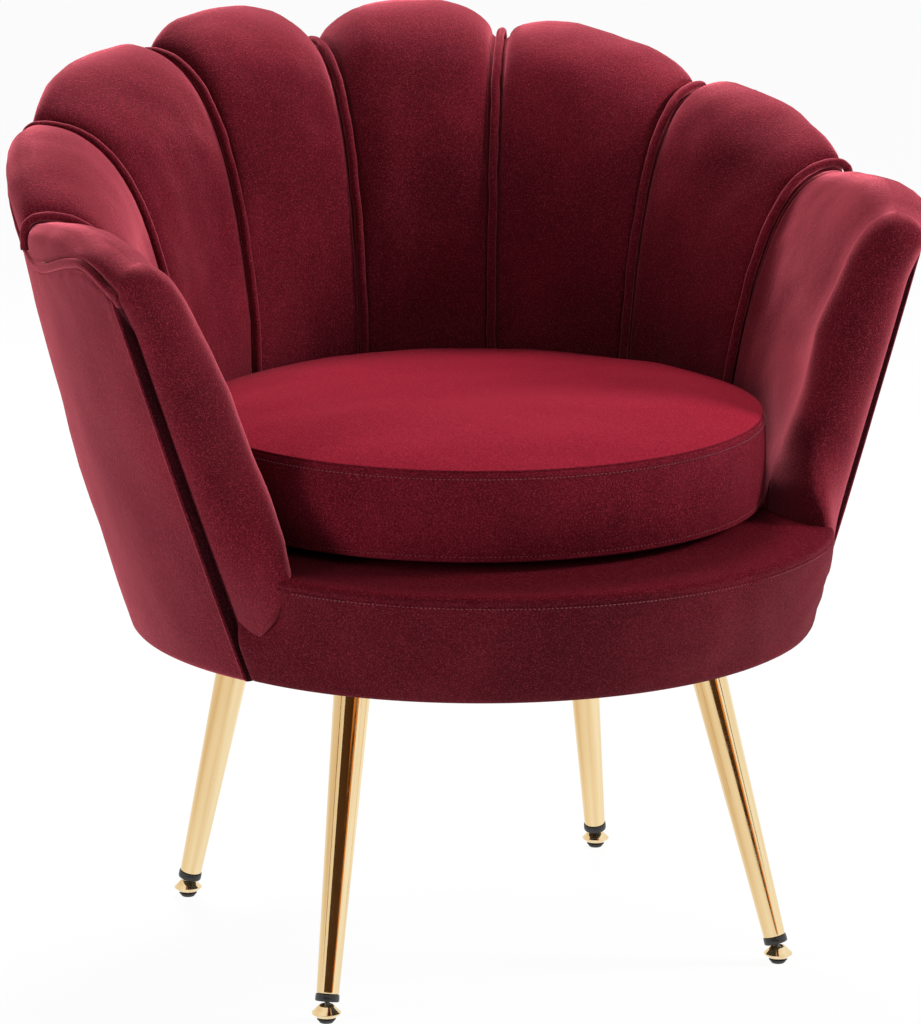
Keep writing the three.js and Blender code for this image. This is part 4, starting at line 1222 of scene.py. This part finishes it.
FLAGS = (  # name, first and last direction, lowest and highest point, distance and tone
    ("dark", -150, -96, 0.3, 2.8, 3.0, DARK), ("amber", -96, -84, 0.3, 2.8, 3.0, AMBER),
    ("low_dark", -118, -76, 0.05, 0.68, 2.9, DARK), ("low_amber", -76, -66, 0.05, 0.72, 2.9, AMBER),
    ("thin_right", -52, -47, 0.3, 2.8, 3.0, BROWN), ("thin_left", -178, -174, 0.3, 2.8, 3.0, BROWN))


def stage_mesh(name, points, faces, n):
    mesh = bpy.data.meshes.new(name)
    mesh.from_pydata(points.tolist(), [], faces)
    mesh.materials.append(n.material)
    piece = put(name, mesh)
    return piece


def make_floor():
    n = Material("pale studio floor")
    n.finish(n.ramp(n.noise(3.0), (0.3, (0.86, 0.86, 0.86)), (0.7, (0.9, 0.9, 0.9))), 0.9)
    glow = n.math("MULTIPLY", n.seen_rays(), FLOOR_GLOW)
    n.show(n.add("MixShader", glow, n.shader.outputs[0], n.add("Emission").outputs[0]))
    stage_mesh("studio_floor", spokes(circle(96)) * FLOOR_RADIUS, [tuple(range(96))], n)


def make_flags():
    """Upright cards round the viewpoint that only the polished metal shows, the low ones on the right leg."""
    for name, first, last, low, high, reach, tone in FLAGS:
        n = Material(f"{name} studio flag")
        n.show(n.add("Emission", n.ramp(n.noise(2.0), (0.3, darker(tone, 0.7)), (0.7, tone))))
        turns = np.radians(np.linspace(first, last, 12))
        points = np.concatenate([spokes(turns) * reach + [0, 0, z] for z in (low, high)])
        faces = [(i, i + 1, i + 13, i + 12) for i in range(11)]
        flag = stage_mesh(f"studio_flag_{name}", points, faces, n)
        flag.visible_camera = flag.visible_diffuse = flag.visible_shadow = False


def make_world():
    world = bpy.data.worlds.new("studio")
    world.use_nodes = True
    bpy.context.scene.world = world
    n = NodeTree(world.node_tree)
    background = world.node_tree.nodes["Background"].inputs
    n.feed((1, 1, 1), background["Color"])
    seen = n.math("MULTIPLY", n.seen_rays(), 1 - WORLD_FILL)
    n.feed(n.math("ADD", seen, WORLD_FILL), background["Strength"])


def area_light(name, spot, aim, size, power):
    light = bpy.data.lights.new(name, "AREA")
    light.shape = "DISK"
    light.size = size
    light.energy = power
    lamp = put(name, light)
    lamp.location = spot
    lamp.rotation_euler = (Vector(aim) - Vector(spot)).to_track_quat("-Z", "Y").to_euler()
    lamp.visible_camera = lamp.visible_glossy = False


def make_camera():
    """The photograph's viewpoint, solved from its seams, seat and feet."""
    ahead, right = Vector(CAMERA_AHEAD).normalized(), Vector(CAMERA_RIGHT).normalized()
    up = right.cross(ahead)
    data = bpy.data.cameras.new("camera")
    camera = put("camera", data)
    turn = Matrix((right, up, -ahead)).transposed().to_4x4()
    camera.matrix_world = Matrix.Translation(Vector(CAMERA_PLACE)) @ turn
    data.sensor_width = SENSOR
    data.lens = FOCAL_PIXELS * SENSOR / IMAGE[1]
    data.shift_x = (IMAGE[0] / 2 - CENTRE_PIXEL[0]) / IMAGE[1]
    data.shift_y = (CENTRE_PIXEL[1] - IMAGE[1] / 2) / IMAGE[1]
    data.clip_end = 100
    bpy.context.scene.camera = camera


make_floor()
make_flags()
make_world()
for light in LIGHTS:
    area_light(*light)
make_camera()
bpy.context.scene.view_settings.view_transform = "Standard"
